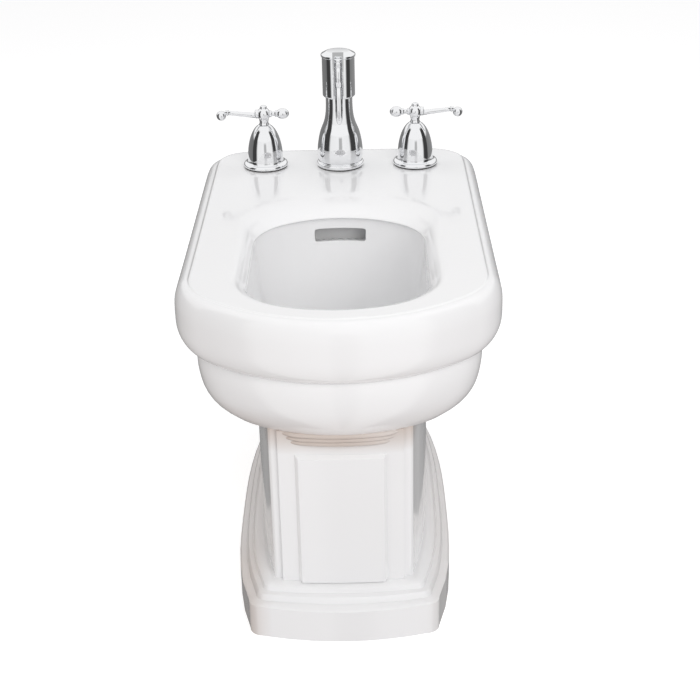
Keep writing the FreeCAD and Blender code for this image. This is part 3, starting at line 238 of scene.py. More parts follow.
# a grid with one line of vertices for each row, each vertex set on the row's next point
def bendGrid(bm, rows):
    across, along = len(rows[0]) - 1, len(rows) - 1
    made = bmesh.ops.create_grid(bm, x_segments=across, y_segments=along, size=1.0)["verts"]
    lowX, lowY = min(v.co.x for v in made), min(v.co.y for v in made)
    wide, deep = max(v.co.x for v in made) - lowX, max(v.co.y for v in made) - lowY
    for vert in made:
        column = round((vert.co.x - lowX) / wide * across)
        row = round((vert.co.y - lowY) / deep * along)
        vert.co = Vector(rows[row][column]) * mm


# a skin bent over the rows, with its seams merged
def skinOf(rows):
    bm = bmesh.new()
    bendGrid(bm, rows)
    bmesh.ops.remove_doubles(bm, verts=bm.verts[:], dist=mergeGap * mm)
    return bm


def closeEnds(bm):
    bmesh.ops.holes_fill(bm, edges=[e for e in bm.edges if e.is_boundary], sides=0)


def middleOf(face):
    return face.calc_center_median() / mm


# a block that reaches half to each side
def blockAcross(bm, half, front, rear, low, high):
    block = bmesh.ops.create_cube(bm, size=1.0)["verts"]
    bmesh.ops.scale(bm, vec=(2 * half * mm, (rear - front) * mm, (high - low) * mm), verts=block)
    bmesh.ops.translate(bm, vec=(0, (front + rear) / 2 * mm, (low + high) / 2 * mm), verts=block)


def roundBar(bm, radii, length, middle, segments):
    bar = bmesh.ops.create_cone(bm, cap_ends=True, segments=segments, radius1=radii[0] * mm,
                                radius2=radii[1] * mm, depth=length * mm)["verts"]
    bmesh.ops.translate(bm, vec=[c * mm for c in middle], verts=bar)


# smooth reading between the lines of a table whose first column rises
def readTable(table, at):
    k = 0
    while k < len(table) - 2 and at > table[k + 1][0]:
        k += 1
    low, high = table[k], table[k + 1]
    before, after = table[max(k - 1, 0)], table[min(k + 2, len(table) - 1)]
    span = high[0] - low[0]
    t = (at - low[0]) / span
    values = []
    for c in range(1, len(low)):
        slopeLow = (high[c] - before[c]) / (high[0] - before[0]) * span
        slopeHigh = (after[c] - low[c]) / (after[0] - low[0]) * span
        values.append((2 * t**3 - 3 * t**2 + 1) * low[c] + (t**3 - 2 * t**2 + t) * slopeLow
                      + (3 * t**2 - 2 * t**3) * high[c] + (t**3 - t**2) * slopeHigh)
    return values


def lean(first, second, share):
    return [tuple(a + (b - a) * share for a, b in zip(p, q)) for p, q in zip(first, second)]


def addFinish(piece, kind, **settings):
    modifier = piece.modifiers.new(kind.lower(), kind)
    for name, value in settings.items():
        setattr(modifier, name, value)
    return modifier


# bevels the edges that turn more than the given degrees
def roundEdges(piece, width, segments, degrees=30):
    addFinish(piece, "BEVEL", width=width * mm, segments=segments, limit_method="ANGLE",
              angle_limit=radians(degrees), harden_normals=True)


# takes a cutter's solid away from a piece and keeps the result as its mesh
def cutAway(piece, makeCutter):
    bm = bmesh.new()
    makeCutter(bm)
    turnOutwards(bm)
    cutterMesh = newMesh("cutter", bm)
    cutter = newObject("cutter", cutterMesh)
    modifier = addFinish(piece, "BOOLEAN", object=cutter, solver="EXACT")
    shaped = bpy.data.meshes.new_from_object(piece.evaluated_get(bpy.context.evaluated_depsgraph_get()))
    piece.modifiers.remove(modifier)
    oldMesh, name = piece.data, piece.data.name
    piece.data = shaped
    bpy.data.meshes.remove(oldMesh)
    shaped.name = name
    bpy.data.objects.remove(cutter)
    bpy.data.meshes.remove(cutterMesh)


# plan outlines of the china, right half from the front to the back
arcSteps = {"front": 8, "corner": 10, "side": 8, "backCorner": 7}
backShares = (1.0, 0.84, 0.68, 0.56, 0.48, 0.38, 0.26, 0.13, 0.0)


# points on a circle from one turn to another, with or without the last
def arcPoints(centre, radius, start, stop, steps, withLast=False):
    points = []
    for k in range(steps + withLast):
        angle = start + (stop - start) * k / steps
        points.append((centre[0] + radius * cos(angle), centre[1] + radius * sin(angle)))
    return points


# where a big arc across the front or back meets the small arc of its corner
def cornerArc(half, reach, big, small, sign):
    bigY = sign * (reach - big)
    across = half - small
    rise = sqrt(max((big - small) ** 2 - across ** 2, 0.0))
    return bigY, across, bigY + sign * rise, atan2(rise, across)


def roundedD(half, front, back, frontRadius, cornerRadius, backRadius, backCorner):
    bigY, across, smallY, turn = cornerArc(half, front, frontRadius, cornerRadius, -1)
    points = arcPoints((0, bigY), frontRadius, -pi / 2, -turn, arcSteps["front"])
    points += arcPoints((across, smallY), cornerRadius, -turn, 0, arcSteps["corner"])
    sideStart = smallY
    bigY, across, smallY, turn = cornerArc(half, back, backRadius, backCorner, 1)
    for k in range(arcSteps["side"]):
        points.append((half, sideStart + (smallY - sideStart) * k / arcSteps["side"]))
    points += arcPoints((across, smallY), backCorner, 0, turn, arcSteps["backCorner"])
    touch = backRadius * cos(turn)
    for share in backShares:
        points.append((touch * share, bigY + sqrt(backRadius ** 2 - (touch * share) ** 2)))
    return points


def closedRow(halfPoints, z):
    right = [(x, y, z) for x, y in halfPoints]
    left = [(-x, y, z) for x, y in reversed(halfPoints[1:-1])]
    return right + left + right[:1]


def openRow(halfPoints, z):
    right = [(x, y, z) for x, y in halfPoints]
    left = [(-x, y, z) for x, y in reversed(halfPoints[1:])]
    return left + right


# a circle round the drain whose points lie in the same directions as an outline's
def aroundDrain(radius, halfPoints):
    return [(radius * cos(atan2(y, x)), radius * sin(atan2(y, x))) for x, y in halfPoints]


# rim, deck and basin, one glazed skin
rim = {"halfWidth": 186.0, "halfLength": 302.0, "frontRadius": 222.0, "cornerRadius": 105.0,
       "backRadius": 4000.0, "backCorner": 62.0, "upperCentre": 380.0, "upperRoll": 25.0, "upperInset": 13.0,
       "waist": 371.5, "crease": 335.0, "lowerRoll": 28.0, "creaseSide": 24.0, "creaseFront": 14.0,
       "stepTop": 405.0, "stepEnd": 60.0, "stepFade": 170.0, "stepLeft": 1.2, "wall": 11.0}
basin = {"half": 105.0, "front": 248.0, "back": 54.0, "undercut": 8.0, "depth": 158.0, "floor": 252.0,
         "frontRadius": 1.43, "cornerRadius": 0.80, "backRadius": 1.20, "backCorner": 0.743,
         "slotLow": 359.0, "slotHigh": 378.0, "slotHalf": 33.5, "slotNear": 55.0, "slotMiddle": 67.0,
         "slotFar": 85.0, "slotEdge": 1.0, "slotDepth": 1.2}
# drop, half width, front reach, back reach
basinShares = [(0.090, 0.997, 0.998, 1.000), (0.190, 0.990, 0.993, 1.020), (0.380, 0.965, 0.977, 1.010),
               (0.600, 0.920, 0.940, 0.960), (0.790, 0.845, 0.845, 0.880), (0.920, 0.685, 0.670, 0.780),
               (0.985, 0.480, 0.530, 0.690), (1.000, 0.400, 0.490, 0.640)]
# radius round the drain and height: up the bore to the basin's floor, and down the boss outside
boreRows = [(22.5, 212.0), (22.5, 232.0), (22.5, 249.5), (23.2, 251.3), (25.5, 251.9), (31.0, 252.0)]
bossRows = [(39.0, 241.0), (36.6, 240.4), (36.0, 238.5), (36.0, 226.0), (36.0, 213.0), (35.0, 212.0),
            (29.0, 212.0), (23.5, 212.0)]
# drops of the rows up the basin's inside and down its outside
insideDrops = (1.0, 0.993, 0.975, 0.95, 0.92, 0.88, 0.84, 0.79, 0.73, 0.665, 0.60, 0.53, 0.46, 0.39,
               0.345, 0.325, 0.3228, 0.29, 0.2627, 0.235, 0.2025, 0.200, 0.18, 0.155, 0.135, 0.121)
outsideDrops = (0.10, 0.189, 0.302, 0.38, 0.49, 0.60, 0.70, 0.79, 0.86, 0.92, 0.96, 0.985, 1.0)
floorShares, deckShares = (0.3, 0.6, 0.85), (0.3, 0.65)      # of the way from one outline to the next
upperTurns, lowerTurns = (76, 62, 48, 34, 20, 8), (88, 74, 60, 46, 32, 18, 7, 0)      # degrees of a roll
lipShare = 0.999
# undercut and height under the mouth
lipRows = [(6.6, 391.6), (2.6, 392.6), (0.3, 393.6), (-0.4, 394.6)]
# height, half width, front reach, back reach of the soft mouth
mouthRows = [(395.4, 1.000, 1.000, 1.000), (396.2, 1.003, 1.0015, 1.02), (398.6, 1.013, 1.006, 1.09),
             (401.6, 1.030, 1.014, 1.22), (404.6, 1.052, 1.024, 1.38), (407.2, 1.085, 1.036, 1.58),
             (409.0, 1.120, 1.046, 1.80), (409.8, 1.155, 1.056, 2.02), (410.0, 1.190, 1.066, 2.22)]
# inset from the rim's side and height, from the deck over the step
stepRows = [(24.0, 410.0), (20.0, 410.0), (18.6, 409.75), (17.75, 409.1), (17.2, 408.0), (16.7, 406.6),
            (15.9, 405.6), (14.7, 405.15), (13.4, 405.0)]
# inset from the crease and height, across the band's underside and up to the deck's
underRows = [(1.0, 335.0), (10.0, 335.0), (11.0, 335.0), (11.0, 336.0), (11.0, 366.0), (11.0, 396.0),
             (11.0, 398.0), (13.0, 398.0)]


def bandHalf(side, front):
    return roundedD(rim["halfWidth"] - side, rim["halfLength"] - front, rim["halfLength"] - front,
                    rim["frontRadius"] - front, rim["cornerRadius"] - side, rim["backRadius"],
                    rim["backCorner"] - side)


def basinHalf(width, front, back, undercut=0.0, grow=0.0):
    half = basin["half"] * width
    return roundedD(half + grow, basin["front"] * front + grow, (basin["back"] + undercut) * back + grow,
                    half * basin["frontRadius"] + grow, half * basin["cornerRadius"] + grow,
                    half * basin["backRadius"] + grow, half * basin["backCorner"] + grow)


def basinAt(drop, grow=0.0):
    return basinHalf(*readTable(basinShares, drop), basin["undercut"], grow)


# lifts a row of the step towards the deck where the rim turns to the front, so the step dies away
def easedFront(row, share):
    lift = (deckTop - rim["stepTop"] - rim["stepLeft"]) * share
    return [(x, y, z + lift * ease(-y, rim["stepEnd"], rim["stepEnd"] + rim["stepFade"])) for x, y, z in row]


def upperRows():
    floorEdge = basinAt(1.0)
    floorRing = aroundDrain(boreRows[-1][0], floorEdge)
    outerMouth = basinHalf(*mouthRows[-1][1:])
    deckEdge = bandHalf(stepRows[0][0], stepRows[0][0])
    rows = [closedRow(aroundDrain(radius, floorEdge), z) for radius, z in boreRows]
    rows += [closedRow(lean(floorRing, floorEdge, share), basin["floor"]) for share in floorShares]
    rows += [closedRow(basinAt(drop), deckTop - basin["depth"] * drop) for drop in insideDrops]
    rows += [closedRow(basinHalf(lipShare, lipShare, 1.0, undercut), z) for undercut, z in lipRows]
    rows += [closedRow(basinHalf(width, front, back), z) for z, width, front, back in mouthRows]
    rows += [closedRow(lean(outerMouth, deckEdge, share), deckTop) for share in deckShares]
    for inset, z in stepRows:
        share = (deckTop - z) / (deckTop - rim["stepTop"])
        rows.append(easedFront(closedRow(bandHalf(inset, inset), z), share))
    for degrees in upperTurns:
        turn = radians(degrees)
        inset = rim["upperInset"] * (1 - cos(turn))
        row = closedRow(bandHalf(inset, inset), rim["upperCentre"] + rim["upperRoll"] * sin(turn))
        rows.append(easedFront(row, sin(turn)))
    rows.append(closedRow(bandHalf(0.0, 0.0), rim["waist"]))
    side, front = rim["creaseSide"], rim["creaseFront"]
    for degrees in lowerTurns:
        turn = radians(degrees)
        share = 1 - sin(turn)
        z = rim["crease"] + rim["lowerRoll"] * (1 - cos(turn))
        rows.append(closedRow(bandHalf(side * share, front * share), z))
    rows += [closedRow(bandHalf(side + inset, front + inset), z) for inset, z in underRows]
    inset, underside = underRows[-1]
    innerBand = bandHalf(side + inset, front + inset)
    basinTop = basinHalf(1.0, 1.0, 1.0, basin["undercut"], rim["wall"])
    rows.append(closedRow(lean(innerBand, basinTop, 0.5), underside))
    rows.append(closedRow(basinTop, underside))
    for drop in outsideDrops:
        rows.append(closedRow(basinAt(drop, rim["wall"]), deckTop - (basin["depth"] + rim["wall"]) * drop))
    under = basinAt(1.0, rim["wall"])
    rows.append(closedRow(lean(under, aroundDrain(bossRows[0][0], under), 0.5), bossRows[0][1]))
    rows += [closedRow(aroundDrain(radius, under), z) for radius, z in bossRows]
    return rows + [rows[0]]


bm = skinOf(upperRows())
turnOutwards(bm)
# overflow slot: the wall's faces between the slot's lines open through to the wall's back
slotFront, slotBack = [], []
for face in bm.faces:
    x, y, z = middleOf(face)
    if basin["slotLow"] < z < basin["slotHigh"] and abs(x) < basin["slotHalf"]:
        if basin["slotNear"] < y < basin["slotMiddle"]:
            slotFront.append(face)
        elif basin["slotMiddle"] < y < basin["slotFar"]:
            slotBack.append(face)
bmesh.ops.inset_region(bm, faces=slotFront, thickness=basin["slotEdge"] * mm, depth=0.0, use_even_offset=True)
grown = bmesh.ops.extrude_face_region(bm, geom=slotFront)["geom"]
bmesh.ops.delete(bm, geom=slotFront, context="FACES_ONLY")
slotFront = [g for g in grown if isinstance(g, bmesh.types.BMFace)]
slotVerts = [g for g in grown if isinstance(g, bmesh.types.BMVert)]
bmesh.ops.translate(bm, verts=slotVerts, vec=(0, basin["slotDepth"] * mm, 0))
openEdges = []
for side in (slotFront, slotBack):
    openEdges += [e for e in bm.edges if len([f for f in e.link_faces if f in side]) == 1]
bmesh.ops.delete(bm, geom=slotFront + slotBack, context="FACES_ONLY")
bmesh.ops.bridge_loops(bm, edges=openEdges)
bmesh.ops.delete(bm, geom=[v for v in bm.verts if not v.link_faces], context="VERTS")
upperSkin = addChina("rimAndBasin", bm, "china_rim", "china_basin_wall", "china_basin_dish")
addFinish(upperSkin, "SUBSURF", levels=1, render_levels=1)
print("rim and basin", len(upperSkin.data.polygons), "slot faces", len(slotFront), len(slotBack))

# duct behind the back wall, hollow where the slot opens into it. blocks: half, front, rear, low, high
duct = {"block": (42.0, 64.0, 95.0, 246.0, 394.0), "hollow": (36.0, 59.0, 90.0, 260.0, 390.0), "edge": 4.0}
bm = bmesh.new()
blockAcross(bm, *duct["block"])
ductPiece = addChina("overflowDuct", bm, "china_overflow")
cutAway(ductPiece, lambda bm: blockAcross(bm, *duct["hollow"]))
roundEdges(ductPiece, duct["edge"], 4)

# channel under the duct that leads to the drain, and the boss under the spray
channel = {"block": (34.0, 30.0, 95.0, 219.0, 249.0), "edge": 4.0,
           "sprayY": -88.0, "sprayRadii": (22.0, 22.0), "sprayMiddle": 245.5, "sprayHeight": 11.0}
bm = bmesh.new()
blockAcross(bm, *channel["block"])
roundBar(bm, channel["sprayRadii"], channel["sprayHeight"],
         (0, channel["sprayY"], channel["sprayMiddle"]), 48)
channelPiece = addChina("overflowChannel", bm, "china_overflow")
roundEdges(channelPiece, channel["edge"], 4)

# bowl wall under the crease, open at the back
bowl = {"half": 161.4, "front": 287.4, "back": 284.0, "depth": 73.0, "bottom": 262.0, "wall": 11.0,
        "frontRadius": 208.0, "cornerRadius": 96.0, "backRadius": 4000.0, "backCorner": 70.0,
        "openHalf": 128.0, "openFront": 168.0, "insideTop": 334.0, "edge": 1.6,
        # the bowl's painted shade: its depth, the extra on the left, and the heights and sides where it fades
        "shadeDepth": 0.12, "leftShade": 0.22, "shadeLow": 262, "shadeHigh": 296, "shadeRight": 60, "shadeLeft": 110}
bowlShares = [(0.00, 1.000, 1.000, 1.000), (0.12, 1.010, 1.006, 0.985), (0.28, 1.012, 1.009, 0.955),
              (0.45, 1.003, 1.005, 0.905), (0.62, 0.988, 0.995, 0.845), (0.78, 0.958, 0.978, 0.780),
              (0.90, 0.910, 0.962, 0.720), (1.00, 0.830, 0.945, 0.660)]
bowlOutsideDrops = (1.0, 0.985, 0.96, 0.92, 0.87, 0.80, 0.72, 0.63, 0.53, 0.43, 0.33, 0.23, 0.14, 0.06, 0.0)
bowlInsideDrops = (0.15, 0.30, 0.45, 0.62, 0.74, 0.83, 0.90, 0.96, 1.0)


# from the front round to the open back: it ends where the opening cuts the wall
def bowlHalf(drop, inset=0.0):
    width, front, back = readTable(bowlShares, drop)
    half = bowl["half"] * width - inset
    slimming = bowl["half"] * (1 - width)
    reach, rear = bowl["front"] * front - inset, bowl["back"] * back - inset
    corner = bowl["cornerRadius"] - slimming / 2 - inset
    backCorner = bowl["backCorner"] - inset
    points = roundedD(half, reach, rear, bowl["frontRadius"] - slimming - inset, corner, bowl["backRadius"],
                      backCorner)
    frontPart = arcSteps["front"] + arcSteps["corner"]
    kept = points[:frontPart]
    sideStart = points[frontPart][1]
    across, sideEnd, lastTurn = half - backCorner, rear - backCorner, 0.0
    if half > bowl["openHalf"]:
        lastTurn = acos((bowl["openHalf"] - across) / backCorner)
    else:
        sideEnd = bowl["openFront"]
    for k in range(arcSteps["side"]):
        kept.append((half, sideStart + (sideEnd - sideStart) * k / arcSteps["side"]))
    return kept + arcPoints((across, sideEnd), backCorner, 0, lastTurn, 5, True)


# plans of the pedestal: bowed front, bulging side, straight back that ends at the opening. Each row has the
# front, half width and bow there, half width and place where widest, back, half width there, corner, and
# how full the side is before and behind the widest place
footPlan = (296.5, 112.0, 18.0, 131.0, 60.0, 165.0, 113.0, 16.0, 3.6, 2.6)
ledgePlan = (265.0, 87.0, 5.0, 109.0, 50.0, 159.0, 97.0, 6.0, 2.8, 2.6)
trunkPlan = (257.0, 82.0, 3.0, 104.5, 50.0, 158.0, 90.0, 6.0, 2.0, 2.0)
wellPlan = (246.0, 71.0, 3.0, 99.0, 50.0, 147.0, 79.0, 1.0, 2.0, 2.0)
bowlWellPlan = (*wellPlan[:7], 3.0, 2.0, 2.0)
openingHalf = 78.0
pedestalSteps = (8, 6, 12, 4)
bowlWellSteps = (8, 10, 8, 4)


def planHalf(plan, inset=0.0, steps=pedestalSteps):
    frontSteps, cornerSteps, sideSteps, backSteps = steps
    bow, sideY, sideFullness, backFullness = plan[2], plan[4], plan[8], plan[9]
    front, frontHalf, sideHalf, back, backHalf, corner = (plan[k] - inset for k in (0, 1, 3, 5, 6, 7))
    points = []
    for k in range(frontSteps):
        x = (frontHalf - corner) * k / frontSteps
        points.append((x, -front + bow * (x / frontHalf) ** 2))
    sideStart = -front + bow * ((frontHalf - corner) / frontHalf) ** 2 + corner
    sideStop = back - corner
    points += arcPoints((frontHalf - corner, sideStart), corner, -pi / 2, 0, cornerSteps)
    for k in range(sideSteps):
        y = sideStart + (sideStop - sideStart) * k / sideSteps
        if y < -sideY:
            away = (-sideY - y) / (-sideY - sideStart)
            points.append((sideHalf - (sideHalf - frontHalf) * away ** sideFullness, y))
        else:
            away = (y + sideY) / (sideStop + sideY)
            points.append((sideHalf - (sideHalf - backHalf) * away ** backFullness, y))
    points += arcPoints((backHalf - corner, sideStop), corner, 0, pi / 2, backSteps, True)
    return points + [(openingHalf, back)]


def bowlRows():
    well = planHalf(bowlWellPlan, 0.0, bowlWellSteps)
    insideBottom = bowl["bottom"] + bowl["wall"]
    rows = [openRow(bowlHalf(drop), bowl["bottom"] + bowl["depth"] * (1 - drop)) for drop in bowlOutsideDrops]
    rows.append(openRow(bowlHalf(0.0, bowl["wall"]), bowl["bottom"] + bowl["depth"]))
    for drop in bowlInsideDrops:
        z = insideBottom + bowl["depth"] * (1 - drop)
        if z < bowl["insideTop"]:
            rows.append(openRow(bowlHalf(drop, bowl["wall"]), z))
    return rows + [openRow(well, insideBottom), openRow(well, bowl["bottom"]), rows[0]]


bm = skinOf(bowlRows())
closeEnds(bm)
bowlPiece = addChina("bowlWall", bm, "china_bowl")
roundEdges(bowlPiece, bowl["edge"], 3, 40)
# painted shade on the bowl's lower part, deeper towards its bottom and stronger to the left
markPaintedShade(bowlPiece, lambda x, y, z: (
    ease(-z, -bowl["shadeHigh"], -bowl["shadeLow"])
    * (bowl["shadeDepth"] + bowl["leftShade"] * ease(-x, -bowl["shadeRight"], bowl["shadeLeft"]))))
print("bowl wall", len(bowlPiece.data.polygons))

# pedestal: foot, stepped mouldings, trunk with its pilaster and raised panel
pedestal = {"footTop": 41.0, "mouldTop": 62.0, "footWall": 13.0, "footCeiling": 34.5,
            "pilasterHalf": 71.0, "pilasterFront": 263.0, "pilasterBow": 3.0, "quirkBow": 2.6,
            "panelHalf": 52.0, "panelFront": 258.0, "panelLow": 64.0, "panelTop": 232.0, "panelRise": 5.0,
            "panelBevel": 4.0, "panelFoot": 62.5, "panelFootBand": 72.0, "edge": 1.8,
            # painted shade: at the trunk's top under the bowl, and low on the flanks, more on the left
            "topShade": 0.75, "leftShade": 0.26, "leftFrontShade": 0.26, "rightShade": 0.17}
footHeights = (0.0, 14.0, 28.0)
trunkHeights = (62.0, 64.0, 106.0, 148.0, 190.0, 232.0, 248.0, 262.0)
insideHeights = (262.0, 200.0, 120.0, 34.5)
pilasterShares = (0.0, 0.19, 0.37, 0.55, 0.7324, 0.82, 0.91, 1.0)
# shares of the way in from the foot to the ledge, and of the moulding's height
mouldShares = [(0.00, 0.00), (0.09, 0.11), (0.34, 0.19), (0.40, 0.43), (0.46, 0.52),
               (0.66, 0.58), (0.72, 0.82), (0.80, 0.90), (1.00, 1.00)]


# the trunk's plan with the pilaster standing proud between two square quirks
def trunkHalf():
    half = pedestal["pilasterHalf"]
    front = [(half * share, -pedestal["pilasterFront"] + pedestal["pilasterBow"] * share ** 2)
             for share in pilasterShares]
    front.append((half, -trunkPlan[0] + pedestal["quirkBow"]))
    return front + planHalf(trunkPlan)[len(front):]


def pedestalRows():
    foot, ledge, trunk, well = planHalf(footPlan), planHalf(ledgePlan), trunkHalf(), planHalf(wellPlan)
    footInside = planHalf(footPlan, pedestal["footWall"])
    rows = [openRow(foot, z) for z in footHeights]
    for inward, up in mouldShares:
        z = pedestal["footTop"] + (pedestal["mouldTop"] - pedestal["footTop"]) * up
        rows.append(openRow(lean(foot, ledge, inward), z))
    rows += [openRow(trunk, z) for z in trunkHeights] + [openRow(well, z) for z in insideHeights]
    rows += [openRow(footInside, z) for z in (pedestal["footCeiling"], 0.0)]
    return rows + [rows[0]]


bm = skinOf(pedestalRows())
turnOutwards(bm)
panelFaces = []
for face in bm.faces:
    x, y, z = middleOf(face)
    if (y < -pedestal["panelFront"] and abs(x) < pedestal["panelHalf"]
            and pedestal["panelLow"] < z < pedestal["panelTop"]):
        panelFaces.append(face)
bmesh.ops.inset_region(bm, faces=panelFaces, thickness=pedestal["panelBevel"] * mm,
                       depth=pedestal["panelRise"] * mm, use_even_offset=True)
for vert in {v for f in panelFaces for v in f.verts}:
    if vert.co.z < pedestal["panelFootBand"] * mm:
        vert.co.z = pedestal["panelFoot"] * mm
closeEnds(bm)
pedestalPiece = addChina("pedestal", bm, "china_pedestal")
roundEdges(pedestalPiece, pedestal["edge"], 3)
# painted shade: warm darkening at the top of the trunk's front under the bowl, and low on both flanks, more
# on the left and towards the front-left
markPaintedShade(pedestalPiece, lambda x, y, z: max(
    pedestal["topShade"] * ease(z, 228, 262) * ease(-y, 200, 250),
    ease(-z, -110, -62) * (
        ease(-x, 84, 112) * (pedestal["leftShade"] + pedestal["leftFrontShade"] * ease(-y, 120, 240))
        + pedestal["rightShade"] * ease(x, 92, 116))))
print("pedestal", len(pedestalPiece.data.polygons), "panel faces", len(panelFaces))

# three fine ridges on the front of the neck, under the bowl
neck = {"half": 80.0, "front": 273.0, "frontRadius": 250.0, "cornerRadius": 40.0, "back": -250.0,
        "top": 262.0, "ridge": 5.6, "ridges": 3, "step": 1.8, "groove": 1.6, "backTaper": 0.97,
        # painted shade on the ridges: its depth, and how much it lightens towards the right
        "shadeDepth": 0.8, "rightFade": 0.25, "fadeEnd": 80}
# share of the way down a ridge, share of the groove's depth
ridgeShares = ((0.0, 1.0), (0.12, 0.75), (0.3, 0.2), (0.5, 0.0), (0.7, 0.2), (0.88, 0.75))


def neckHalf(shrink):
    radius, corner = neck["frontRadius"], neck["cornerRadius"]
    bigY, across, smallY, turn = cornerArc(neck["half"] - shrink, neck["front"] - shrink, radius, corner, -1)
    lastTurn = asin((neck["back"] - smallY) / corner)
    return (arcPoints((0, bigY), radius, -pi / 2, -turn, 10)
            + arcPoints((across, smallY), corner, -turn, lastTurn, 8, True))


def neckRows():
    rows = []
    for index in range(neck["ridges"]):
        top = neck["top"] - neck["ridge"] * index
        for down, groove in ridgeShares:
            shrink = neck["step"] * index + neck["groove"] * groove
            rows.append(openRow(neckHalf(shrink), top - neck["ridge"] * down))
    last = neckHalf(neck["step"] * (neck["ridges"] - 1) + neck["groove"])
    low = neck["top"] - neck["ridge"] * neck["ridges"]
    rows.append(openRow(last, low))
    for outline, z in ((last, low), (neckHalf(neck["groove"]), neck["top"])):
        rows.append(openRow([(x * neck["backTaper"], neck["back"]) for x, y in outline], z))
    return rows + [rows[0]]


bm = skinOf(neckRows())
closeEnds(bm)
neckPiece = addChina("neckRidges", bm, "china_pedestal")
# painted shade across the neck ridges under the bowl, a little lighter to the right
markPaintedShade(neckPiece, lambda x, y, z: neck["shadeDepth"] - neck["rightFade"] * ease(x, 0, neck["fadeEnd"]))
print("neck ridges", len(neckPiece.data.polygons))

# lugs inside the back of the foot, each with its bolt hole
lug = {"x": 74.0, "y": 112.0, "outward": 1.28, "turns": 32}
# radius of a round row, half of a square one, height
lugRows = ((6.0, 0.0, 0.0), (6.0, 0.0, 15.2), (6.8, 0.0, 16.0), (0.0, 17.0, 16.0), (0.0, 19.4, 15.4),
           (0.0, 20.0, 14.0), (0.0, 20.0, 0.0), (6.0, 0.0, 0.0))
bm = bmesh.new()
for side in (-1, 1):
    rows = []
    for radius, square, z in lugRows:
        row = []
        for k in range(lug["turns"] + 1):
            angle = radians(45 + 360.0 * k / lug["turns"])
            x, y = cos(angle), sin(angle)
            reach = radius or square / max(abs(x), abs(y))
            wide = lug["outward"] if square and x * side > 0 else 1.0
            row.append((side * lug["x"] + reach * x * wide, lug["y"] + reach * y, z))
        rows.append(row)
    bendGrid(bm, rows)
addChina("floorLugs", bm, "china_pedestal")


# chrome, turned on its axis
cornerShare = 0.45      # the most of an edge that one rounded corner takes
bellSteps, hubSteps, barSteps, towerSteps = 72, 64, 48, 96      # steps of a full spin


# rounds each inner corner of a profile
def softened(points, radius, steps=4):
    soft = [points[0]]
    for before, corner, after in zip(points, points[1:], points[2:]):
        a, b, c = Vector(before), Vector(corner), Vector(after)
        reach = min(radius, (a - b).length * cornerShare, (c - b).length * cornerShare)
        start, stop = b + (a - b).normalized() * reach, b + (c - b).normalized() * reach
        for k in range(steps + 1):
            t = k / steps
            soft.append(tuple(start * (1 - t) ** 2 + b * 2 * t * (1 - t) + stop * t ** 2))
    soft.append(points[-1])
    return soft


# spins a profile of (radius, height) in mm round Z, and sets the result in place
def turnOn(bm, profile, matrix, steps):
    verts = [bm.verts.new((r * mm, 0, z * mm)) for r, z in profile]
    edges = [bm.edges.new(pair) for pair in zip(verts, verts[1:])]
    before = set(bm.verts) - set(verts)
    bmesh.ops.spin(bm, geom=verts + edges, cent=(0, 0, 0), axis=(0, 0, 1), angle=2 * pi, steps=steps,
                   use_merge=True, use_duplicate=False)
    made = [v for v in bm.verts if v not in before]
    bmesh.ops.remove_doubles(bm, verts=made, dist=mergeGap / 2 * mm)
    made = [v for v in bm.verts if v not in before]
    bmesh.ops.transform(bm, matrix=matrix, verts=made)


def addTurned(name, profile, matrix, steps, body, replaced):
    bm = bmesh.new()
    turnOn(bm, profile, matrix, steps)
    return addPiece(name, bm, "polished_chrome", body, (replaced,))


def standing(x, y, z=deckTop):
    return Matrix.Translation((x * mm, y * mm, z * mm))


# part of a circle, or of an oval, as a profile at turns counted from its foot
def roundProfile(radius, halfHeight, centre, turns):
    return [(radius * sin(a), centre - halfHeight * cos(a)) for a in map(radians, turns)]


bell = {"shoulder": 9.6, "spread": 24.1, "top": 8.5, "topHeight": 57.5, "steps": 26}
bellShares = [(0.0, 1.00), (0.20, 0.96), (0.40, 0.89), (0.60, 0.75), (0.75, 0.58), (0.88, 0.36),
              (0.96, 0.15), (1.0, 0.0)]
bellRing = [(17.0, 1.6), (29.2, 1.6), (30.0, 2.4), (30.0, 4.6), (28.6, 6.4), (25.6, 7.2), (24.4, 8.2),
            (24.1, 9.6)]
bellInside = [(8.1, 58.0), (4.6, 58.0), (4.6, 50.0), (6.5, 44.0), (12.0, 30.0), (17.0, 14.0), (17.0, 1.6)]
handle = {"hubRadius": 9.0, "low": 58.0, "centre": 73.0, "rise": 6.5, "rootDrop": 3.2, "ballDrop": 1.5,
          "ball": 6.5, "reach": 57.0, "barStart": 6.0, "barRadius": 3.6, "barTaper": 0.9, "barEnd": 2.7,
          "barInBall": 0.72, "ringBack": 5.2, "finialStart": 8.2, "finialRadius": 7.0, "finialHalf": 8.8,
          "finialReach": 34.0}
# radius, and height over the hub's foot, over its centre, along the bar's end and along the finial
hubFoot = [(4.05, 0.0), (6.2, 0.0), (6.65, 0.5), (6.65, 1.6), (6.0, 2.4), (5.8, 4.2), (6.2, 6.2)]
hubTop = [(4.5, 8.3), (4.7, 9.2), (4.5, 10.1), (3.9, 10.9), (2.6, 11.6), (1.2, 11.95), (0.0, 12.0)]
hubCollar = [(0.0, 5.0), (5.2, 6.6), (5.8, 7.4), (5.8, 10.4), (5.3, 11.3), (4.4, 11.7), (0.0, 11.7)]
barShares = (0.0, 0.25, 0.5, 0.75)
barRing = [(2.8, 0.0), (3.5, 0.3), (3.9, 1.0), (3.9, 1.7), (3.5, 2.4), (2.7, 2.8)]
finialNeck = [(0.0, 0.0), (4.1, 0.0), (4.5, 0.5), (4.5, 1.9), (3.9, 2.4), (3.0, 2.8), (2.9, 5.2), (3.1, 6.4)]
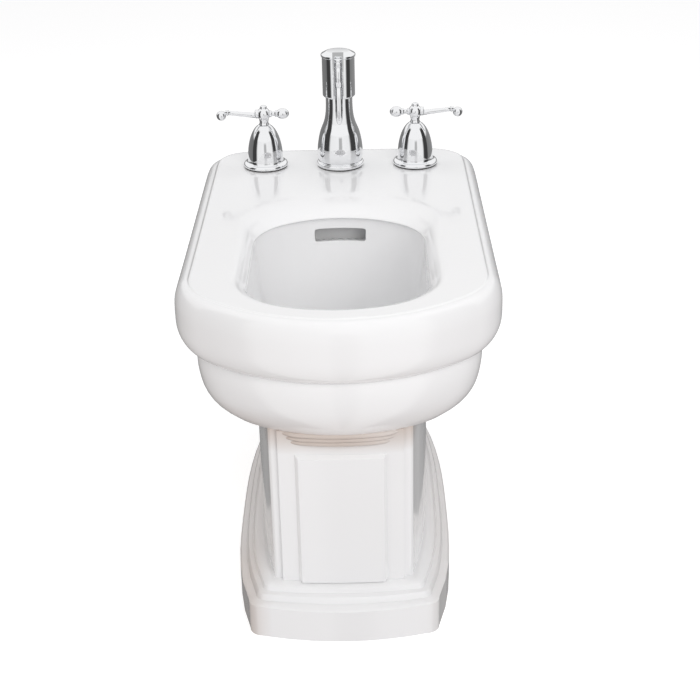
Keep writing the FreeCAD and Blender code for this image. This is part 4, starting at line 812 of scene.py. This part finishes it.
finialWaist = [(4.2, -0.4), (4.5, 0.3), (4.2, 1.0), (3.4, 1.4)]


def raisedBy(profile, height):
    return [(radius, z + height) for radius, z in profile]


def bellProfile():
    outside = softened(bellRing, 1.2)
    height, spread = bell["topHeight"] - bell["shoulder"], bell["spread"] - bell["top"]
    for k in range(1, bell["steps"] + 1):
        up = k / bell["steps"]
        out = readTable(bellShares, up)[0]
        outside.append((bell["top"] + spread * out, bell["shoulder"] + height * up))
    return outside + bellInside


def hubProfile():
    centre, radius = handle["centre"], handle["hubRadius"]
    ball = roundProfile(radius, radius, centre, range(48, 150, 8))
    return raisedBy(hubFoot, handle["low"]) + ball + raisedBy(hubTop, centre)


def barProfile():
    root, end = handle["barStart"], handle["reach"] - handle["ball"] * handle["barInBall"]
    bar = [(handle["barRadius"] - handle["barTaper"] * t, root + (end - root) * t)
           for t in barShares]
    ring = raisedBy(barRing, end - handle["ringBack"])
    return [(0.0, root)] + bar + ring + [(handle["barEnd"], end), (0.0, end)]


def finialProfile():
    reach, half = handle["finialReach"], handle["finialHalf"]
    neck = raisedBy(finialNeck, handle["finialStart"]) + raisedBy(finialWaist, reach - 2 * half)
    return neck + roundProfile(handle["finialRadius"], half, reach - half, range(36, 180, 9)) + [(0.0, reach)]


for label, side in (("hot", -1), ("cold", 1)):
    body = label + "_handle"
    x = side * tapReach
    addTurned(label + "Bell", bellProfile(), standing(x, tapRow), bellSteps, "bidet", label + "_escutcheon")
    addTurned(label + "Hub", hubProfile(), standing(x, tapRow), hubSteps, body, label + "_handle_hub")
    outward = standing(x, tapRow, deckTop + handle["centre"])
    level = outward @ Matrix.Rotation(radians(side * 90), 4, "Y")
    lowered = Matrix.Translation((side * handle["rootDrop"] * mm, 0, 0))
    ballPlace = Matrix.Translation((side * handle["ballDrop"] * mm, 0, 0))
    rising = Matrix.Rotation(radians(-side * handle["rise"]), 4, "Y")
    bm = bmesh.new()
    turnOn(bm, hubCollar, level, barSteps)
    turnOn(bm, barProfile(), level @ lowered @ rising, barSteps)
    turnOn(bm, roundProfile(handle["ball"], handle["ball"], handle["reach"], range(0, 190, 10)),
           level @ ballPlace, barSteps)
    addPiece(label + "LeverBar", bm, "polished_chrome", body, (label + "_lever",))
    inward = outward @ Matrix.Rotation(radians(-side * 90), 4, "Y")
    addTurned(label + "Finial", finialProfile(), inward, barSteps, body, label + "_finial")
print("side valves")

# tower: vase body, slotted hood and cap, with the lift knob in the slot
tower = {"belly": 30.5, "neckTop": 96.0, "steps": 30, "flareStart": 0.09,
         "slot": (7.2, tapRow - 40.0, tapRow - 9.45), "hoodCut": (90.0, 160.0), "capCut": (140.0, 170.0),
         "knobOffset": 15.5, "knob": 5.2, "knobBore": 2.55, "boreRadii": (5.3, 5.3), "boreDepth": 80.0,
         "boreMiddle": 81.6, "edge": 0.5}
towerShares = [(0.088, 0.955), (0.120, 0.990), (0.190, 1.000), (0.270, 0.995), (0.370, 0.955), (0.500, 0.862),
               (0.646, 0.684), (0.750, 0.615), (0.860, 0.588), (1.000, 0.584)]
vaseFoot = [(12.0, 1.5), (30.7, 1.5), (31.5, 2.3), (31.5, 5.6), (30.6, 6.5), (29.2, 6.9), (28.6, 7.7)]
vaseInside = [(17.8, 96.0), (8.0, 96.0), (8.0, 60.0), (12.0, 30.0), (12.0, 1.5)]
hoodWall = [(8.0, 96.0), (19.6, 96.0), (21.65, 98.0), (21.65, 149.2), (21.0, 150.0), (8.0, 150.0)]
capSide = [(0.0, 150.0), (22.4, 150.0), (23.0, 150.6), (23.0, 152.6), (22.4, 153.4), (16.6, 156.6),
           (15.4, 157.0), (0.0, 157.0)]
# radius less the knob's, and height: the knob's foot, each of its grooves, and its top
knobFoot, knobTop = [(-0.5, 42.0), (0.0, 42.5)], [(0.0, 148.4), (-0.35, 149.3), (-1.3, 149.9)]
knobGroove = [(0.0, -0.4), (-0.3, -0.1), (-0.75, 0.1), (-0.75, 0.9), (-0.3, 1.1), (0.0, 1.4)]
knobGrooves = (112.0, 138.5, 146.0)


def vaseProfile():
    points = softened(vaseFoot, 1.0)
    for k in range(tower["steps"]):
        up = tower["flareStart"] + (1 - tower["flareStart"]) * k / (tower["steps"] - 1)
        points.append((tower["belly"] * readTable(towerShares, up)[0], tower["neckTop"] * up))
    return points + vaseInside


def cutSlot(piece, low, high):
    cutAway(piece, lambda bm: blockAcross(bm, *tower["slot"], deckTop + low, deckTop + high))


vase = addTurned("towerVase", vaseProfile(), standing(0, tapRow), towerSteps, "bidet", "tower_body")
boreMiddle = (0, tapRow - tower["knobOffset"], deckTop + tower["boreMiddle"])
cutAway(vase, lambda bm: roundBar(bm, tower["boreRadii"], tower["boreDepth"], boreMiddle, 32))
hoodProfile = [(0.0, 96.0)] + softened(hoodWall, 0.7) + [(0.0, 150.0)]
hood = addTurned("towerHood", hoodProfile, standing(0, tapRow), towerSteps, "bidet", "tower_hood")
cutSlot(hood, *tower["hoodCut"])
cap = addTurned("towerCap", softened(capSide, 0.6), standing(0, tapRow), towerSteps, "bidet", "tower_cap")
cutSlot(cap, *tower["capCut"])
for piece in (vase, hood, cap):
    roundEdges(piece, tower["edge"], 2, 35)


def knobProfile():
    points = list(knobFoot)
    for height in knobGrooves:
        points += raisedBy(knobGroove, height)
    side = [(tower["knob"] + out, z) for out, z in points + knobTop]
    return [(tower["knobBore"], 42.0)] + side + [(0.0, 150.0)]


knobPlace = standing(0, tapRow - tower["knobOffset"])
addTurned("liftKnobSleeve", knobProfile(), knobPlace, barSteps, "lift_rod", "lift_knob")
print("tower")

# drain flange, stopper and spray head in the basin
waste = {"headTop": 269.56,
         "fins": ((6.5, 1.2, 178.5, 208.0), (12.0, 1.2, 216.0, 222.0), (1.2, 12.0, 216.0, 222.0)),
         "jets": 6, "jetCircle": 7.2, "jetRadii": (1.2, 0.8), "jetHeight": 0.9, "jetMiddle": 259.5}
flangeRing = [(15.2, 241.1), (15.2, 253.6), (15.9, 254.7), (17.4, 255.6), (20.0, 256.0), (26.4, 255.9),
              (29.2, 255.3), (30.6, 254.4), (31.0, 253.4), (30.8, 253.0), (18.4, 253.0), (18.0, 252.6),
              (18.0, 241.1), (15.2, 241.1)]
# radius, and height from the head's top
stopperHead = [(0.0, 0.0), (6.6, -0.05), (12.0, -0.6), (16.5, -1.3), (19.6, -2.0), (21.3, -2.7), (22.0, -3.6),
               (21.9, -4.5), (21.2, -5.0), (12.2, -5.0), (12.0, -5.2), (12.0, -10.9), (14.6, -11.0),
               (14.7, -11.3), (14.7, -13.2), (14.4, -13.5), (3.0, -13.5)]
sprayHead = [(10.8, 253.5), (19.5, 253.5), (20.0, 253.9), (20.0, 254.8), (19.3, 255.5), (17.6, 256.4),
             (15.2, 257.4), (12.0, 258.6), (8.6, 259.3), (7.6, 259.42), (6.9, 259.42), (6.4, 259.3),
             (4.0, 259.5), (0.0, 259.5)]
addTurned("drainFlangeRing", flangeRing, standing(0, 0, 0), bellSteps, "bidet", "drain_flange")

bm = bmesh.new()
stopperProfile = raisedBy(stopperHead, waste["headTop"]) + [(3.0, 199.0), (0.0, 199.0)]
turnOn(bm, stopperProfile, standing(0, 0, 0), hubSteps)
for half, deep, low, high in waste["fins"]:
    blockAcross(bm, half, -deep, deep, low, high)
addPiece("stopperCrown", bm, "polished_chrome", "stopper", ("drain_stopper",))

bm = bmesh.new()
turnOn(bm, sprayHead, standing(0, channel["sprayY"], 0), hubSteps)
for index in range(waste["jets"]):
    turn = 2 * pi * index / waste["jets"]
    x, y = waste["jetCircle"] * cos(turn), channel["sprayY"] + waste["jetCircle"] * sin(turn)
    roundBar(bm, waste["jetRadii"], waste["jetHeight"], (x, y, waste["jetMiddle"]), 16)
addPiece("sprayRose", bm, "polished_chrome", "bidet", ("spray_head",))
print("waste and spray")


# studio
# 1 for the named kinds of ray, 0 for the rest
def pickByRay(tree, kinds):
    rays = addNode(tree, "ShaderNodeLightPath").outputs
    total = rays[kinds[0]]
    for kind in kinds[1:]:
        total = mathOf(tree, "MAXIMUM", total, rays[kind])
    return total


# ceilings, over the room and over the dark bands: how far up they start and are full
studio = {"floorHalf": 9.0, "floorTone": 0.62, "floorGlow": 0.64, "bandMiddle": 73.0, "bandHalf": 17.0,
          "ceilings": {"A": (0.05, 0.32), "B": (0.62, 0.80)}}
# light from each side of the room on matt surfaces
skyTones = [("Z", 1, (0.09, 0.09, 0.09)), ("Z", -1, (0.50, 0.42, 0.37)), ("Y", -1, (0.24, 0.26, 0.29)),
            ("X", -1, (0.97, 0.94, 0.92)), ("X", 1, (0.76, 0.75, 0.76))]
# brightness round the room for reflections, by the angle from the front towards +X
roomTones = [(-180, 0.26), (-150, 0.22), (-92, 0.18), (-86, 0.05), (-60, 0.05), (-50, 0.92),
             (-7, 0.97), (-3, 0.50), (9, 0.50), (14, 0.97), (50, 0.92), (60, 0.05), (86, 0.05), (92, 0.22),
             (150, 0.30), (180, 0.26)]
world = bpy.data.worlds.new("studioWorld")
bpy.context.scene.world = world
world.use_nodes = True
tree = world.node_tree
split = addNode(tree, "ShaderNodeSeparateXYZ")
link(tree, (addNode(tree, "ShaderNodeTexCoord").outputs["Generated"], split.inputs[0]))
# light on matt surfaces: a soft lobe from each of five sides
lobes = None
for axis, sign, tone in skyTones:
    facing = mathOf(tree, "MULTIPLY", split.outputs[axis], sign, use_clamp=True)
    lobe = addNode(tree, "ShaderNodeVectorMath", operation="MULTIPLY_ADD")
    lobe.inputs[0].default_value = tone
    link(tree, (facing, lobe.inputs[1]))
    if lobes is not None:
        link(tree, (lobes, lobe.inputs[2]))
    lobes = lobe.outputs[0]
ambient = addNode(tree, "ShaderNodeBackground")
link(tree, (lobes, ambient.inputs["Color"]))
# reflections: the room round the piece, with a dark band at each side
frontward = mathOf(tree, "MULTIPLY", split.outputs["Y"], -1.0)
around = mathOf(tree, "ARCTAN2", split.outputs["X"], frontward)
inBand = mathOf(tree, "COMPARE", mathOf(tree, "ABSOLUTE", around), radians(studio["bandMiddle"]),
                radians(studio["bandHalf"]))
turnShare = setInputs(addNode(tree, "ShaderNodeMapRange"), {"From Min": -pi, "From Max": pi})
tones = addNode(tree, "ShaderNodeValToRGB")
for index, (turn, tone) in enumerate(roomTones):
    at = (turn + 180) / 360
    if index < 2:
        stop = tones.color_ramp.elements[index]
        stop.position = at
    else:
        stop = tones.color_ramp.elements.new(at)
    stop.color = (tone, tone, tone, 1)
link(tree, (around, turnShare.inputs["Value"]), (turnShare.outputs["Result"], tones.inputs["Fac"]))
# a white ceiling that starts low, and higher over the dark bands
ceiling = addNode(tree, "ShaderNodeMix", data_type="FLOAT")
link(tree, (inBand, ceiling.inputs["Factor"]))
for label, (low, full) in studio["ceilings"].items():
    overhead = setInputs(addNode(tree, "ShaderNodeMapRange", interpolation_type="SMOOTHSTEP"),
                         {"From Min": low, "From Max": full})
    link(tree, (split.outputs["Z"], overhead.inputs["Value"]),
         (overhead.outputs["Result"], ceiling.inputs[label]))
bright = mathOf(tree, "MAXIMUM", tones.outputs["Color"], ceiling.outputs["Result"])
plain = mathOf(tree, "MAXIMUM", bright, pickByRay(tree, ["Is Camera Ray"]))     # the camera sees plain white
background = setInputs(tree.nodes["Background"], {"Color": (1, 1, 1, 1)})
mixer = addNode(tree, "ShaderNodeMixShader")
reflected = pickByRay(tree, ["Is Camera Ray", "Is Glossy Ray", "Is Transmission Ray"])
link(tree, (plain, background.inputs["Strength"]), (reflected, mixer.inputs["Fac"]),
     (ambient.outputs[0], mixer.inputs[1]), (background.outputs[0], mixer.inputs[2]),
     (mixer.outputs[0], tree.nodes["World Output"].inputs["Surface"]))

bm = bmesh.new()
bmesh.ops.create_grid(bm, x_segments=8, y_segments=8, size=studio["floorHalf"])
floor = newObject("studioFloor", newMesh("studioFloor", bm))
floorFinish = bpy.data.materials.new("paleFloor")
floorFinish.use_nodes = True
tree = floorFinish.node_tree
surface = setInputs(tree.nodes["Principled BSDF"], {
    "Base Color": (*[studio["floorTone"]] * 3, 1), "Roughness": 0.9, "Specular IOR Level": 0.0,
    "Emission Color": (1, 1, 1, 1)})
glow = mathOf(tree, "MULTIPLY", pickByRay(tree, ["Is Camera Ray"]), studio["floorGlow"])
seeThrough = addNode(tree, "ShaderNodeBsdfTransparent")
turned = addNode(tree, "ShaderNodeMixShader")
# only the camera sees the floor, and only from above
unseen = mathOf(tree, "MAXIMUM", addNode(tree, "ShaderNodeNewGeometry").outputs["Backfacing"],
                pickByRay(tree, ["Is Glossy Ray", "Is Diffuse Ray"]))
link(tree, (glow, surface.inputs["Emission Strength"]), (unseen, turned.inputs["Fac"]),
     (surface.outputs[0], turned.inputs[1]), (seeThrough.outputs[0], turned.inputs[2]),
     (turned.outputs[0], tree.nodes["Material Output"].inputs["Surface"]))
floor.data.materials.append(floorFinish)

lampAim = Vector((0, 0, 0.25))
# place, size, power, colour
lamps = {"key": ((0.6, -1.9, 1.5), 1.6, 24.0, (1.0, 0.98, 0.95)),
         "top": ((0.0, 0.7, 2.45), 1.5, 16.0, (0.98, 0.99, 1.0))}
for label, (spot, size, power, colour) in lamps.items():
    lamp = bpy.data.lights.new(label + "Lamp", "AREA")
    lamp.shape = "DISK"
    lamp.size = size
    lamp.energy = power
    lamp.color = colour
    stand = newObject(label + "Lamp", lamp)
    stand.location = spot
    stand.visible_glossy = False      # the room alone shows in the chrome
    stand.rotation_euler = (lampAim - Vector(spot)).to_track_quat("-Z", "Y").to_euler()

camera = {"place": (0.02894, -1.67049, 1.04828), "turn": 0.65034, "down": 25.97854, "roll": -1.22156,
          "lens": 74.571}
lens = bpy.data.cameras.new("photoCamera")
lens.lens = camera["lens"]
lens.sensor_width = 36.0
eye = newObject("photoCamera", lens)
eye.matrix_world = Matrix.Translation(camera["place"])
for degrees, axis in ((camera["turn"], "Z"), (90 - camera["down"], "X"), (camera["roll"], "Z")):
    eye.matrix_world = eye.matrix_world @ Matrix.Rotation(radians(degrees), 4, axis)
bpy.context.scene.camera = eye
bpy.context.scene.view_settings.view_transform = "Standard"
print("studio")
